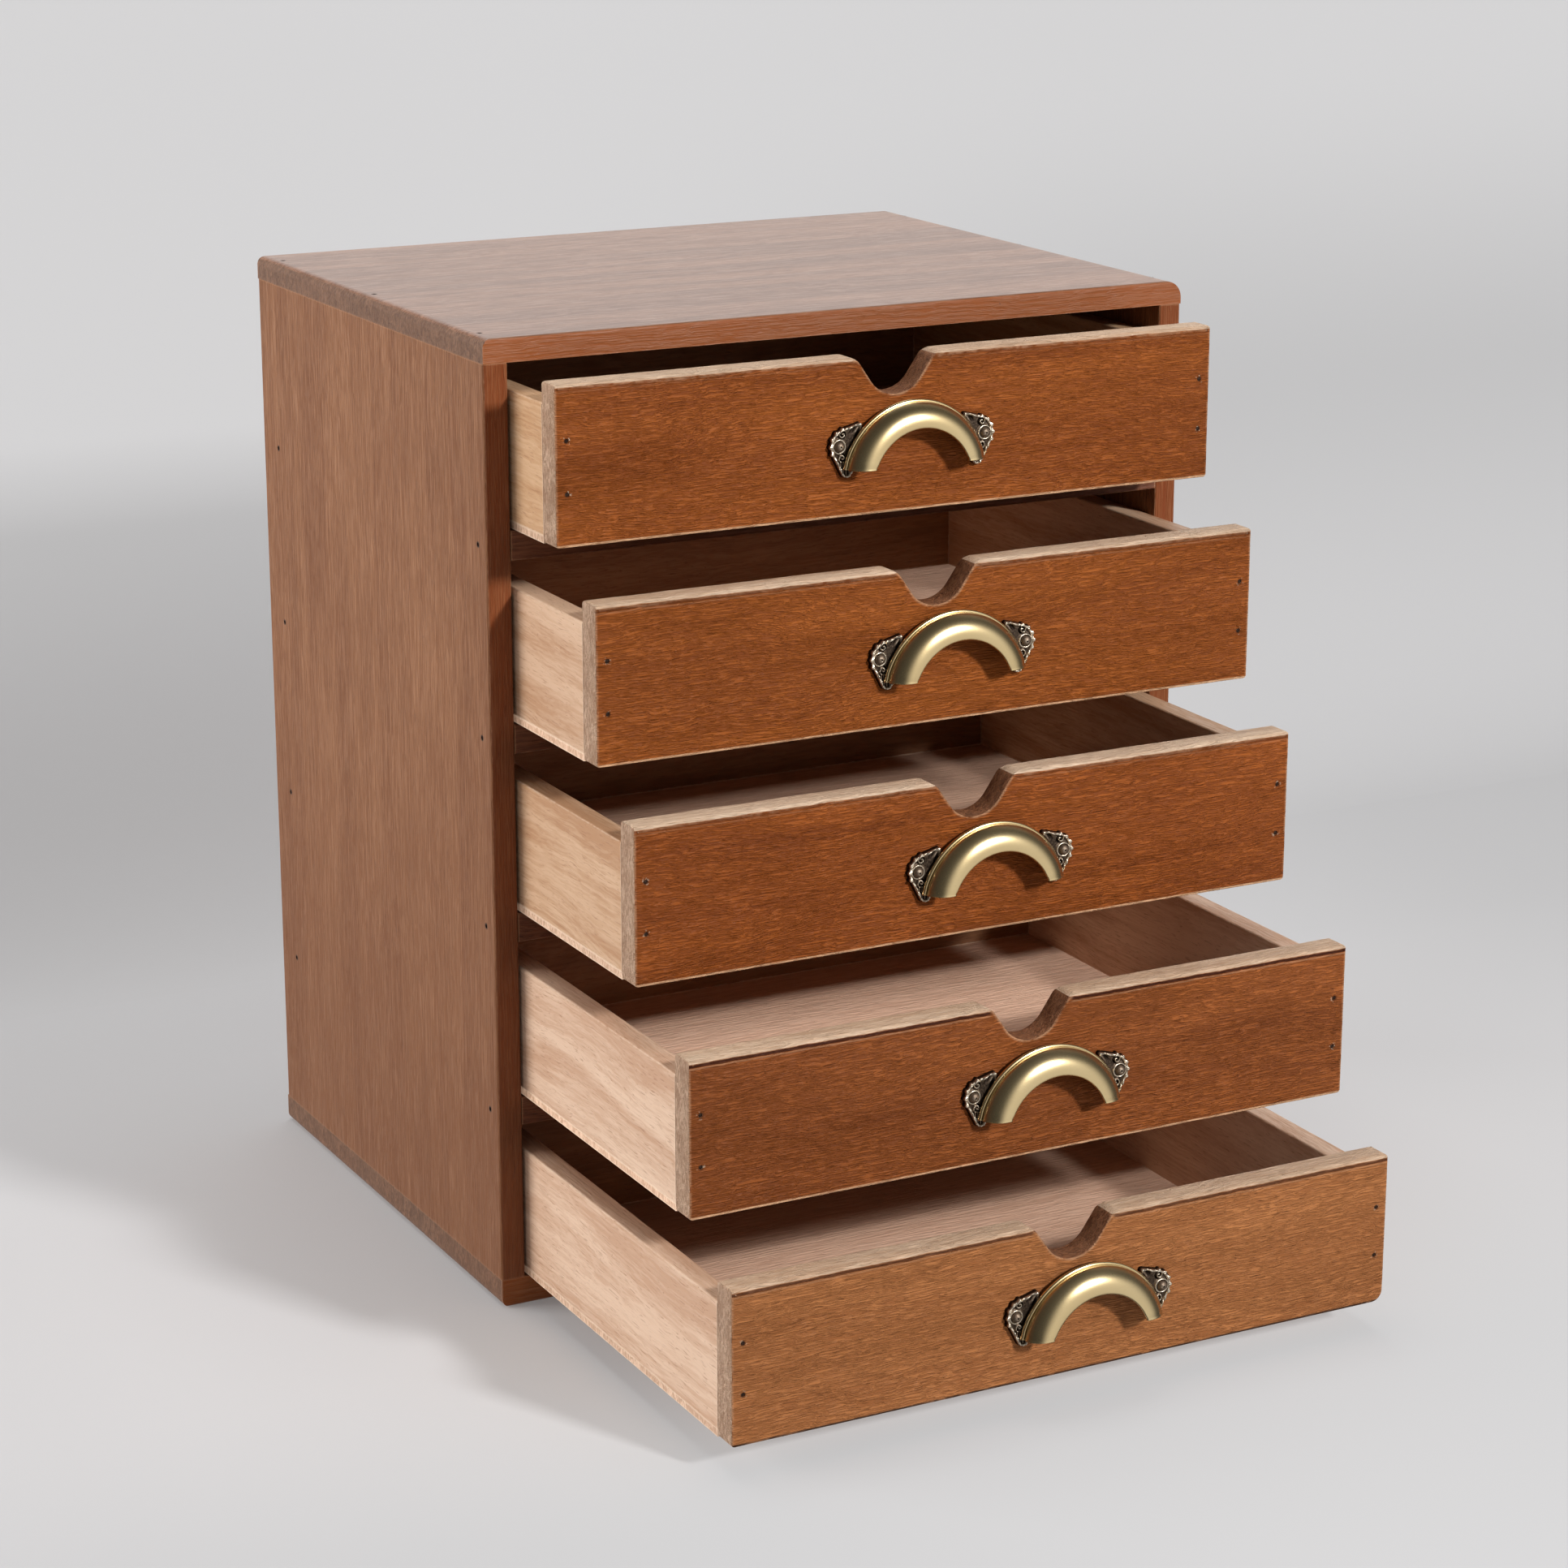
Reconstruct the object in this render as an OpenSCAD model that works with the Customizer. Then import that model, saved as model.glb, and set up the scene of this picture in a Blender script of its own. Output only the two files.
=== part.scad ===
// Desktop chest of five small wooden drawers, in millimetres.
// +Z is up, the drawers open towards -Y and +X is the right-hand side.
// The origin is on the table, under the middle of the cabinet.

/* [Cabinet] */
// Width over the side boards
cab_w = 262; // [220:1:320]
// Depth from the front edges to the back
cab_d = 202; // [180:1:260]
// Height from the table to the top
cab_h = 330; // [300:1:400]
// Thickness of the top board
top_t = 8; // [7:0.5:12]
// Thickness of the bottom board
bottom_t = 10; // [7:0.5:14]
// Thickness of the side boards
side_t = 8.5; // [7:0.5:12]
// Thickness of the plywood back
back_t = 3; // [2:0.5:5]
// Width of the seat that the back lies in, all round
back_lap = 4; // [2:0.5:5]
// Rounding of the two long edges on the left
left_edge_r = 3; // [1:0.5:6]
// Rounding of the two long edges on the right
right_edge_r = 6; // [1:0.5:6.5]
// Rounding of the outer front and back arrises
arris_r = 1.2; // [0.5:0.1:2]

/* [Rails and runners] */
// Height of a front rail, and of the runners behind it
rail_h = 10; // [6:0.5:12]
// Depth of a front rail
rail_d = 14; // [10:1:20]
// Width of a runner
runner_w = 9; // [6:0.5:14]

/* [Drawers] */
// Running gap at each side of a drawer
side_gap = 1; // [0.5:0.1:2]
// Gap between a drawer and what it runs on
run_gap = 0.4; // [0.3:0.1:1]
// Gap above each drawer front
head_gap = 2; // [1:0.1:4]
// Gap behind a drawer that is pushed home
rear_gap = 4; // [2:0.5:12]
// Thickness of a drawer front
front_t = 9.5; // [8:0.5:14]
// Thickness of the drawer sides
wall_t = 8; // [6:0.5:12]
// Thickness of the drawer back
rear_t = 7; // [5:0.5:12]
// Thickness of the plywood drawer bottom
sheet_t = 2.5; // [2:0.5:4]
// How far the sides stop below the top of the front
wall_drop = 7; // [3:0.5:12]
// How far the drawer back stops below the sides
rear_drop = 3; // [0:0.5:8]
// Easing of the top edges of a front
front_ease_r = 1.6; // [0.5:0.1:3]
// Rounding of the ends of a front, seen from the front
front_end_r = 1.2; // [0.5:0.1:3]
// Rounding of the lowest front at its lower right corner
worn_corner_r = 4; // [0.5:0.5:6]
// Easing of the arrises of the drawer sides
wall_ease_r = 0.8; // [0.3:0.1:1.5]

/* [Finger notch] */
// Width of the notch between its shoulders
notch_w = 34.8; // [32:0.2:48]
// Depth of the notch
notch_depth = 13; // [10:0.5:18]
// Radius of the notch's floor
notch_floor_r = 11; // [8:0.5:12]
// Radius of the notch's shoulders
notch_shoulder_r = 5; // [2:0.5:5]

/* [Pull] */
// Outer radius of the arch at its rim
pull_r = 26.7; // [22:0.1:28]
// Outer radius of the arch's rounded section
section_r = 7; // [5:0.5:9]
// Height of the arch's upright wall over the wood
pull_wall_h = 2.4; // [2:0.1:4]
// Sweep of the rounded section, from the wall to the lip
section_sweep = 98; // [80:1:110]
// Thickness of the metal
metal_t = 1.3; // [0.9:0.1:1.8]
// Radius of the bead round the rim and the rolled lip
bead_r = 0.7; // [0.65:0.05:0.9]
// Height at which the legs are cut, over the arch's centre
leg_cut = 6; // [3:0.5:8]
// Distance from the notch's floor to the arch's rim
pull_below_notch = 2; // [1:0.5:5]
// How far the pulls sit to the right of the notches
pull_shift = 5.5; // [-10:0.5:10]

/* [Pull ears] */
// Thickness of an ear
ear_t = 1.4; // [1:0.1:2]
// Radius of an ear's disc
ear_r = 6; // [5:0.1:7]
// Distance of an ear's centre from the outside of the arch's wall
ear_gap = 1.5; // [0.5:0.1:3]
// Height of an ear's centre over the arch's centre
ear_rise = 13.4; // [10:0.1:15]
// Radius of the foot that an ear narrows to
foot_r = 2.2; // [1.6:0.1:2.8]
// How far a foot reaches below the cut end of its leg
foot_drop = 3.2; // [1:0.1:4]
// Radius at the tip of an ear's leaf
leaf_r = 0.9; // [0.6:0.1:1.4]
// Height of the leaf's tip over the ear's centre
leaf_rise = 6.6; // [5:0.1:7.5]
// Distance of the leaf's tip from the arch
leaf_gap = 0.5; // [0.3:0.1:1]
// Width of the raised rim
rim_w = 0.9; // [0.6:0.1:1.3]
// Number of scallops round the rim
scallops = 7; // [3:1:8]
// Radius of a scallop
scallop_r = 1; // [0.7:0.1:1.4]
// Radius of the scrolls above and below the screw
scroll_r = 1.4; // [1:0.1:1.6]
// Width of the collar round the screw's head
collar_w = 0.6; // [0.4:0.1:1]
// Height of the rim, scrolls and collar over the ear
relief_h = 0.8; // [0.3:0.1:1]

/* [Pull screws] */
// Shank diameter
screw_d = 2.4; // [1.8:0.1:3]
// Screw length under the head
screw_len = 9; // [6:0.5:9]
// Head diameter
screw_head_d = 3.6; // [3:0.1:5]
// Head height
screw_head_h = 1.7; // [1:0.1:2.4]
// Clearance of the shank in the ear
screw_clear = 0.15; // [0.05:0.05:0.4]
// Distance of a screw from the middle of its ear
screw_out = 2.6; // [1:0.1:3]

/* [Pins] */
// Diameter of the pins that hold the wood together
pin_d = 1.3; // [1:0.1:1.8]
// Length of a pin
pin_len = 20; // [16:1:25]
// Length of the short pins under a drawer
short_pin_len = 9; // [6:0.5:12]
// Depth of a pin's head under the surface
pin_sink = 0.4; // [0.2:0.1:1]
// Distance of the end pins from the front and the back
pin_inset = 12; // [9:0.5:30]
// Height of the lower pin in a drawer corner
pin_low = 17; // [8:0.5:18]
// Height of the upper pin in a drawer corner
pin_high = 34; // [24:0.5:36]

/* [How far each drawer stands open] */
// Top drawer
open_1 = 33; // [0:1:160]
// Second drawer
open_2 = 61; // [0:1:160]
// Third drawer
open_3 = 87; // [0:1:160]
// Fourth drawer
open_4 = 124; // [0:1:160]
// Bottom drawer
open_5 = 152; // [0:1:160]

/* [Hidden] */
$fn = 64;
cut = 1;                                   // how far a cutter runs past a surface
stain = "#9a5428";
raw_wood = "#dcb78f";
brass = "#b8a468";
dark_brass = "#5a4a3a";
steel = "#4a3a30";

opened = [open_1, open_2, open_3, open_4, open_5];
drawers = len(opened);
ORDER = [for (n = [1 : drawers]) n];
CABINET = ["top_board", "bottom_board", "left_side", "right_side", "back_panel",
           "left_runners", "right_runners", "cabinet_pins"];
RAILS = [for (n = [1 : drawers - 1]) str("front_rail_", n)];
PIECES = ["front", "left_side", "right_side", "back", "bottom",
          "pull", "pull_ears", "pull_screws", "pins"];

inner_w = cab_w - 2 * side_t;
inner_h = cab_h - top_t - bottom_t;
front_y = -cab_d / 2;
back_y = cab_d / 2 - back_t;               // front face of the back panel
bay_h = (inner_h - (drawers - 1) * rail_h) / drawers;
bay_pitch = bay_h + rail_h;

drawer_w = inner_w - 2 * side_gap;
drawer_l = cab_d - back_t - rear_gap;
front_h = bay_h - run_gap - head_gap;
wall_top = front_h - wall_drop;
wall_x = (drawer_w - wall_t) / 2;          // middle of a drawer side

notch_floor = front_h - notch_depth;
pull_z = notch_floor - pull_below_notch - pull_r;   // centre of the arch
section_c = pull_r - section_r;            // centre of the arch's rounded section
pilot_deep = screw_len - ear_t;            // depth of a screw in the front
ear_x = sqrt(pow(pull_r, 2) - pow(ear_rise, 2)) + ear_gap;
screw_x = ear_x + screw_out;
ear_c = [ear_x, ear_rise];
foot_c = [pull_r - foot_r, leg_cut - foot_drop + foot_r];
leaf_z = ear_rise + leaf_rise;
leaf_c = [sqrt(pow(pull_r + leaf_gap + leaf_r, 2) - pow(leaf_z, 2)), leaf_z];

// Floor of a drawer's bay, counted from the top
function bay_z(n) = bottom_t + (drawers - n) * bay_pitch;
// Underside of the rail below a drawer
function rail_z(n) = bay_z(n) - rail_h;

// ---- Helpers -------------------------------------------------------------

// Extrudes an outline drawn in (Y, Z) towards +X
module along_x(length) {
    rotate([90, 0, 90]) linear_extrude(length) children();
}

// Extrudes an outline drawn in (X, Z) towards +Y
module along_y(length) {
    translate([0, length, 0]) rotate([90, 0, 0]) linear_extrude(length) children();
}

// What a rounding takes off a corner at the origin, the material lying towards (sx, sy)
module corner_waste(r, sx, sy) {
    difference() {
        translate([min(-sx * cut, sx * r), min(-sy * cut, sy * r)]) square(r + cut);
        translate([sx * r, sy * r]) circle(r);
    }
}

// Rectangle from the origin with its own radius at each corner: lower left, lower right,
// upper right, upper left
module board_outline(size, radii) {
    places = [[0, 0, 1, 1], [size.x, 0, -1, 1], [size.x, size.y, -1, -1], [0, size.y, 1, -1]];
    difference() {
        square(size);
        for (i = [0 : 3])
            if (radii[i] > 0)
                translate([places[i][0], places[i][1]])
                    corner_waste(radii[i], places[i][2], places[i][3]);
    }
}

// Pins, as [point on the surface, direction into the wood] pairs
module pins(spots, length, diameter = pin_d, from = pin_sink) {
    for (spot = spots) {
        dir = spot[1];
        turn = [dir.z < 0 ? 180 : dir.y > 0 ? -90 : 0, dir.x * 90, 0];
        translate(spot[0] + from * dir) rotate(turn) cylinder(d = diameter, h = length);
    }
}

// The holes for them, open at the surface
module pin_holes(spots, length) {
    pins(spots, length + pin_sink + cut, from = -cut);
}

// ---- Cabinet -------------------------------------------------------------

rail_y = front_y + rail_d / 2;
rear_pin_y = back_y - pin_inset;
side_pin_spots = [for (side = [-1, 1]) for (n = [1 : drawers - 1]) for (y = [rail_y, rear_pin_y])
    [[side * cab_w / 2, y, rail_z(n) + rail_h / 2], [-side, 0, 0]]];
end_pin_y = [front_y + pin_inset, 0, back_y - pin_inset];
end_pin_x = (cab_w - side_t) / 2;
top_pin_spots = [for (side = [-1, 1]) for (y = end_pin_y) [[side * end_pin_x, y, cab_h], [0, 0, -1]]];
bottom_pin_spots = [for (side = [-1, 1]) for (y = end_pin_y) [[side * end_pin_x, y, 0], [0, 0, 1]]];

// The board that lies over or under the sides, with its seat for the back
module end_board(thick, radii, seat_z) {
    difference() {
        intersection() {
            translate([-cab_w / 2, front_y, 0]) along_y(cab_d) board_outline([cab_w, thick], radii);
            translate([-cab_w / 2, front_y, 0]) along_x(cab_w)
                board_outline([cab_d, thick], seat_z > 0 ? [arris_r, arris_r, 0, 0] : [0, 0, arris_r, arris_r]);
        }
        translate([-inner_w / 2 - back_lap, back_y, seat_z])
            cube([inner_w + 2 * back_lap, back_t + cut, back_lap + cut]);
    }
}

module top_board() {
    color(stain) difference() {
        translate([0, 0, cab_h - top_t])
            end_board(top_t, [0, 0, right_edge_r, left_edge_r], -cut);
        pin_holes(top_pin_spots, pin_len);
    }
}

module bottom_board() {
    color(stain) difference() {
        end_board(bottom_t, [left_edge_r, right_edge_r, 0, 0], bottom_t - back_lap);
        pin_holes(bottom_pin_spots, pin_len);
    }
}

// A side board, drawn for the left
module side_board() {
    translate([-cab_w / 2, front_y, bottom_t]) difference() {
        linear_extrude(inner_h) board_outline([side_t, cab_d], [arris_r, wall_ease_r, 0, arris_r]);
        translate([side_t - back_lap, cab_d - back_t, -cut])
            cube([back_lap + cut, back_t + cut, inner_h + 2 * cut]);
    }
}

module left_side() {
    color(stain) difference() {
        side_board();
        pin_holes(concat(side_pin_spots, top_pin_spots, bottom_pin_spots), pin_len);
    }
}

module right_side() {
    color(stain) difference() {
        mirror([1, 0, 0]) side_board();
        pin_holes(concat(side_pin_spots, top_pin_spots, bottom_pin_spots), pin_len);
    }
}

module back_panel() {
    color(stain) translate([-inner_w / 2 - back_lap, back_y, bottom_t - back_lap])
        cube([inner_w + 2 * back_lap, back_t, inner_h + 2 * back_lap]);
}

module front_rail(n) {
    color(stain) difference() {
        translate([-inner_w / 2, front_y, rail_z(n)]) along_x(inner_w)
            board_outline([rail_d, rail_h], [wall_ease_r, 0, 0, wall_ease_r]);
        pin_holes(side_pin_spots, pin_len);
    }
}

// The strips behind the rails on one side, which carry the drawers' edges
module runners(side) {
    color(stain) difference() {
        for (n = [1 : drawers - 1])
            translate([side > 0 ? inner_w / 2 - runner_w : -inner_w / 2, front_y + rail_d, rail_z(n)])
                cube([runner_w, back_y - front_y - rail_d, rail_h]);
        pin_holes(side_pin_spots, pin_len);
    }
}

// The side pins end inside the rails and runners that they hold
module cabinet_pins() {
    color(steel) {
        pins(concat(top_pin_spots, bottom_pin_spots), pin_len);
        pins(side_pin_spots, min(pin_len, side_t + runner_w - pin_sink - pin_d));
    }
}

// ---- Drawers -------------------------------------------------------------
// Each is drawn with the origin at the bottom of its front's face, in the middle.

module in_drawer(n) {
    translate([0, front_y - opened[n - 1], bay_z(n) + run_gap]) children();
}

front_pin_spots = [for (side = [-1, 1]) for (z = [pin_low, pin_high])
    [[side * wall_x, 0, z], [0, 1, 0]]];
rear_pin_spots = [for (side = [-1, 1]) for (z = [pin_low, pin_high])
    [[side * drawer_w / 2, drawer_l - rear_t / 2, z], [-side, 0, 0]]];
sheet_pin_y = [front_t + pin_inset, (front_t + drawer_l) / 2, drawer_l - rear_t - pin_inset];
sheet_pin_spots = [for (side = [-1, 1]) for (y = sheet_pin_y) [[side * wall_x, y, 0], [0, 0, 1]]];

// Finger notch in (X, Z): a round floor, straight walls and round shoulders, all tangent
module notch_outline() {
    shoulder = [notch_w / 2, front_h - notch_shoulder_r];
    floor_c = [0, notch_floor + notch_floor_r];
    reach = shoulder - floor_c;
    wall_angle = atan2(reach.y, reach.x) + asin((notch_floor_r + notch_shoulder_r) / norm(reach));
    normal = [sin(wall_angle), -cos(wall_angle)];
    on_floor = floor_c + notch_floor_r * normal;
    on_shoulder = shoulder - notch_shoulder_r * normal;
    difference() {
        union() {
            polygon([[-shoulder.x, front_h + cut], [shoulder.x, front_h + cut], shoulder,
                     on_shoulder, on_floor, floor_c, [-on_floor.x, on_floor.y],
                     [-on_shoulder.x, on_shoulder.y], [-shoulder.x, shoulder.y]]);
            translate(floor_c) circle(notch_floor_r);
        }
        for (s = [-1, 1]) translate([s * shoulder.x, shoulder.y]) circle(notch_shoulder_r);
    }
}

module drawer_front(n) {
    low_right = n == drawers ? worn_corner_r : front_end_r;
    color(stain) in_drawer(n) difference() {
        intersection() {
            along_y(front_t) difference() {
                translate([-drawer_w / 2, 0])
                    board_outline([drawer_w, front_h], [front_end_r, low_right, front_end_r, front_end_r]);
                notch_outline();
            }
            translate([-drawer_w / 2, 0, 0]) along_x(drawer_w)
                board_outline([front_t, front_h], [0, 0, front_ease_r, front_ease_r]);
        }
        pin_holes(front_pin_spots, pin_len);
        for (s = [-1, 1])
            translate([pull_shift + s * screw_x, -cut, pull_z + ear_rise]) rotate([-90, 0, 0])
                cylinder(d = screw_d, h = pilot_deep + cut);
    }
}

// A drawer side: it stands on the sheet, between the front and the end of the drawer
module drawer_wall(n, side) {
    color(raw_wood) in_drawer(n) difference() {
        translate([side * wall_x - wall_t / 2, front_t, sheet_t])
            along_y(drawer_l - front_t)
                board_outline([wall_t, wall_top - sheet_t], [0, 0, wall_ease_r, wall_ease_r]);
        pin_holes(concat(front_pin_spots, rear_pin_spots), pin_len);
        pin_holes(sheet_pin_spots, short_pin_len);
    }
}

module drawer_back(n) {
    width = drawer_w - 2 * wall_t;
    color(raw_wood) in_drawer(n) difference() {
        translate([-width / 2, drawer_l - rear_t, sheet_t])
            cube([width, rear_t, wall_top - rear_drop - sheet_t]);
        pin_holes(rear_pin_spots, pin_len);
    }
}

module drawer_bottom(n) {
    color(raw_wood) in_drawer(n) difference() {
        translate([-drawer_w / 2, front_t, 0]) cube([drawer_w, drawer_l - front_t, sheet_t]);
        pin_holes(sheet_pin_spots, short_pin_len);
    }
}

module drawer_pins(n) {
    color(steel) in_drawer(n) {
        pins(concat(front_pin_spots, rear_pin_spots), pin_len);
        pins(sheet_pin_spots, short_pin_len);
    }
}

// ---- Pull ----------------------------------------------------------------

// Places what is drawn flat, with Z as its height over the wood, on a front's face
module on_front(n) {
    in_drawer(n) translate([pull_shift, 0, pull_z]) rotate([90, 0, 0]) children();
}

// Section of the arch in (radius, height): an upright wall that turns over into a
// rounded crest and ends in a rolled lip, with a bead where the rim starts
module arch_section() {
    centre = [section_c, pull_wall_h];
    reach = 2 * section_r;
    lip = centre + (section_r - metal_t / 2) * [cos(section_sweep), sin(section_sweep)];
    translate([pull_r - metal_t, ear_t]) square([metal_t, pull_wall_h - ear_t]);
    intersection() {
        translate(centre) difference() {
            circle(section_r);
            circle(section_r - metal_t);
        }
        translate(centre) polygon([[0, 0], [reach, 0], [reach, reach], [0, reach],
            reach * [cos(section_sweep), sin(section_sweep)]]);
    }
    translate(lip) circle(bead_r);
    translate([pull_r - bead_r / 2, pull_wall_h + bead_r / 2]) circle(bead_r);
}

module drawer_pull(n) {
    room = 2 * pull_r;
    color(brass) on_front(n) difference() {
        rotate_extrude(angle = 180) arch_section();
        translate([-room, -room, -cut]) cube([2 * room, room + leg_cut, room]);
    }
}

// A disc that narrows to a round tip between tangent sides
module teardrop(disc_c, disc_r, tip_c, tip_r) {
    reach = tip_c - disc_c;
    aim = atan2(reach.y, reach.x);
    lean = acos((disc_r - tip_r) / norm(reach));
    near = [cos(aim - lean), sin(aim - lean)];
    far = [cos(aim + lean), sin(aim + lean)];
    translate(disc_c) circle(disc_r);
    translate(tip_c) circle(tip_r);
    polygon([disc_c + disc_r * near, tip_c + tip_r * near, tip_c + tip_r * far, disc_c + disc_r * far]);
}

// Repeats a shape along the rim of an ear
module scallop_ring() {
    spread = 150;
    for (i = [0 : scallops - 1])
        translate(ear_c) rotate(-spread / 2 + i * spread / (scallops - 1))
            translate([ear_r - rim_w / 2, 0]) children();
}

// Outline of an ear: its scalloped disc, the foot under a leg of the arch, and the leaf
// that runs up along the arch
module ear_outline() {
    teardrop(ear_c, ear_r, foot_c, foot_r);
    teardrop(ear_c, ear_r, leaf_c, leaf_r);
    scallop_ring() circle(scallop_r);
}

// What stands raised on an ear: its rim and leaf, the scallops, a scroll above and one
// below the screw, and the collar round the screw's head
module ear_relief() {
    scroll_turn = 70;
    difference() {
        ear_outline();
        teardrop(ear_c, ear_r - rim_w, foot_c, foot_r - rim_w);
    }
    scallop_ring() circle(scallop_r);
    for (s = [-1, 1])
        translate(ear_c) rotate(s * scroll_turn) translate([ear_r - rim_w / 2 - scroll_r, 0]) {
            difference() {
                circle(scroll_r);
                circle(scroll_r / 2);
            }
            circle(scroll_r / 4);
        }
    translate([screw_x, ear_rise]) circle(d = screw_head_d + 2 * collar_w);
}

// One ear, drawn for the right, its relief kept outside the arch's rim
module ear() {
    difference() {
        union() {
            linear_extrude(ear_t) ear_outline();
            difference() {
                linear_extrude(ear_t + relief_h) ear_relief();
                translate([0, 0, -cut]) cylinder(r = pull_r + bead_r, h = 2 * section_r);
            }
        }
        translate([screw_x, ear_rise, -cut])
            cylinder(d = screw_d + 2 * screw_clear, h = ear_t + relief_h + 2 * cut);
        translate([screw_x, ear_rise, ear_t]) cylinder(d = screw_head_d, h = relief_h + cut);
    }
}

module drawer_pull_ears(n) {
    color(dark_brass) on_front(n) {
        ear();
        mirror([1, 0, 0]) ear();
    }
}

// A slotted round-head screw, drawn upright with its head on the ear
module pull_screw() {
    slot_w = screw_head_d / 6;
    ball_r = (pow(screw_head_d / 2, 2) + pow(screw_head_h, 2)) / (2 * screw_head_h);
    translate([0, 0, ear_t - screw_len]) cylinder(d = screw_d, h = screw_len);
    difference() {
        intersection() {
            translate([0, 0, ear_t + screw_head_h - ball_r]) sphere(ball_r);
            translate([0, 0, ear_t]) cylinder(d = screw_head_d, h = screw_head_h);
        }
        translate([-screw_head_d, -slot_w / 2, ear_t + screw_head_h / 2])
            cube([2 * screw_head_d, slot_w, screw_head_h]);
    }
}

module drawer_pull_screws(n) {
    color(dark_brass) on_front(n)
        for (s = [-1, 1]) translate([s * screw_x, ear_rise, 0]) pull_screw();
}

// ---- Assembly ------------------------------------------------------------

top_board();
bottom_board();
left_side();
right_side();
back_panel();
runners(-1);  // left_runners
runners(1);  // right_runners
cabinet_pins();
for (n = [1 : drawers - 1])
    front_rail(n);
for (n = ORDER) {
    drawer_front(n);
    drawer_wall(n, -1);
    drawer_wall(n, 1);
    drawer_back(n);
    drawer_bottom(n);
    drawer_pull(n);
    drawer_pull_ears(n);
    drawer_pull_screws(n);
    drawer_pins(n);
}
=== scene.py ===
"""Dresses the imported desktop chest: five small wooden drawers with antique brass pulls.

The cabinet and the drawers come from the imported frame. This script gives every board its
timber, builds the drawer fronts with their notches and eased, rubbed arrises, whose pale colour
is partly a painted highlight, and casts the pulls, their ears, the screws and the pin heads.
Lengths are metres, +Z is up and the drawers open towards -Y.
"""

import logging
import math
from collections.abc import Sequence
from dataclasses import dataclass
from enum import Enum

import bmesh
import bpy
from mathutils import Matrix, Vector, noise


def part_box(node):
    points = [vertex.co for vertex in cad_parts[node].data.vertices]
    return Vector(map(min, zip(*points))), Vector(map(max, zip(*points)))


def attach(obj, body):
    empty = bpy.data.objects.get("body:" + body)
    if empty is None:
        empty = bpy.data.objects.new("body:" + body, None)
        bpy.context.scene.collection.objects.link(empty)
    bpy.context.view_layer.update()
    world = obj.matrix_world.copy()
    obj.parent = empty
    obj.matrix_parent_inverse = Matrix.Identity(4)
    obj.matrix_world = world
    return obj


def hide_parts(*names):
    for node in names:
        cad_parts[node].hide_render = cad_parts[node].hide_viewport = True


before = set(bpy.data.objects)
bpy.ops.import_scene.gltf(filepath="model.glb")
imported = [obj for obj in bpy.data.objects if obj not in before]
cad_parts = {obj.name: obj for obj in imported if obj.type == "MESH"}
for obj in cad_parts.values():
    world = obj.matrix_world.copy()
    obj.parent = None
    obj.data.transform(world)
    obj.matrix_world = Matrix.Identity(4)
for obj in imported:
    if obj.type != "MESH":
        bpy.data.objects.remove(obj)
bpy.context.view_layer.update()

LOG = logging.getLogger("desktop_chest")
MM = 0.001
DRAWERS = 5

Colour = tuple[float, float, float, float]
Socket = bpy.types.NodeSocket
Point = tuple[float, float]
Disc = tuple[float, float, float]
Ring = list[bmesh.types.BMVert]
HeadPlaces = list[tuple[Vector, Vector]]

BLACK = (0.0, 0.0, 0.0, 1.0)


def srgb(*levels: int) -> Colour:
    """Turns an 8-bit display colour into the linear colour, with full alpha, that a shader takes."""
    shares = [level / 255 for level in levels]
    return *(s / 12.92 if s <= 0.04045 else ((s + 0.055) / 1.055) ** 2.4 for s in shares), 1.0


class Grain(Enum):
    """The axis that a board's grain runs along, with the order that puts it first."""

    ALONG_X = ("X", "Y", "Z")
    ALONG_Y = ("Y", "X", "Z")
    ALONG_Z = ("Z", "X", "Y")


# ---- Node helpers ---------------------------------------------------------------------


class Value:
    """A number that a shader tree works out. Arithmetic on it adds Math nodes."""

    def __init__(self, sheet: "Sheet", socket: Socket) -> None:
        """Takes the sheet and the output that gives the number."""
        self.sheet = sheet
        self.socket = socket

    def __add__(self, other: "Feed") -> "Value":
        """Returns the sum."""
        return self.sheet.maths("ADD", self, other)

    def __sub__(self, other: "Feed") -> "Value":
        """Returns the difference."""
        return self.sheet.maths("SUBTRACT", self, other)

    def __rsub__(self, other: "Feed") -> "Value":
        """Returns what is left of another number."""
        return self.sheet.maths("SUBTRACT", other, self)

    def __mul__(self, other: "Feed") -> "Value":
        """Returns the product."""
        return self.sheet.maths("MULTIPLY", self, other)

    def __abs__(self) -> "Value":
        """Returns the size without the sign."""
        return self.sheet.maths("ABSOLUTE", self)


Feed = Value | Socket | float | Sequence[float]


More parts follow.
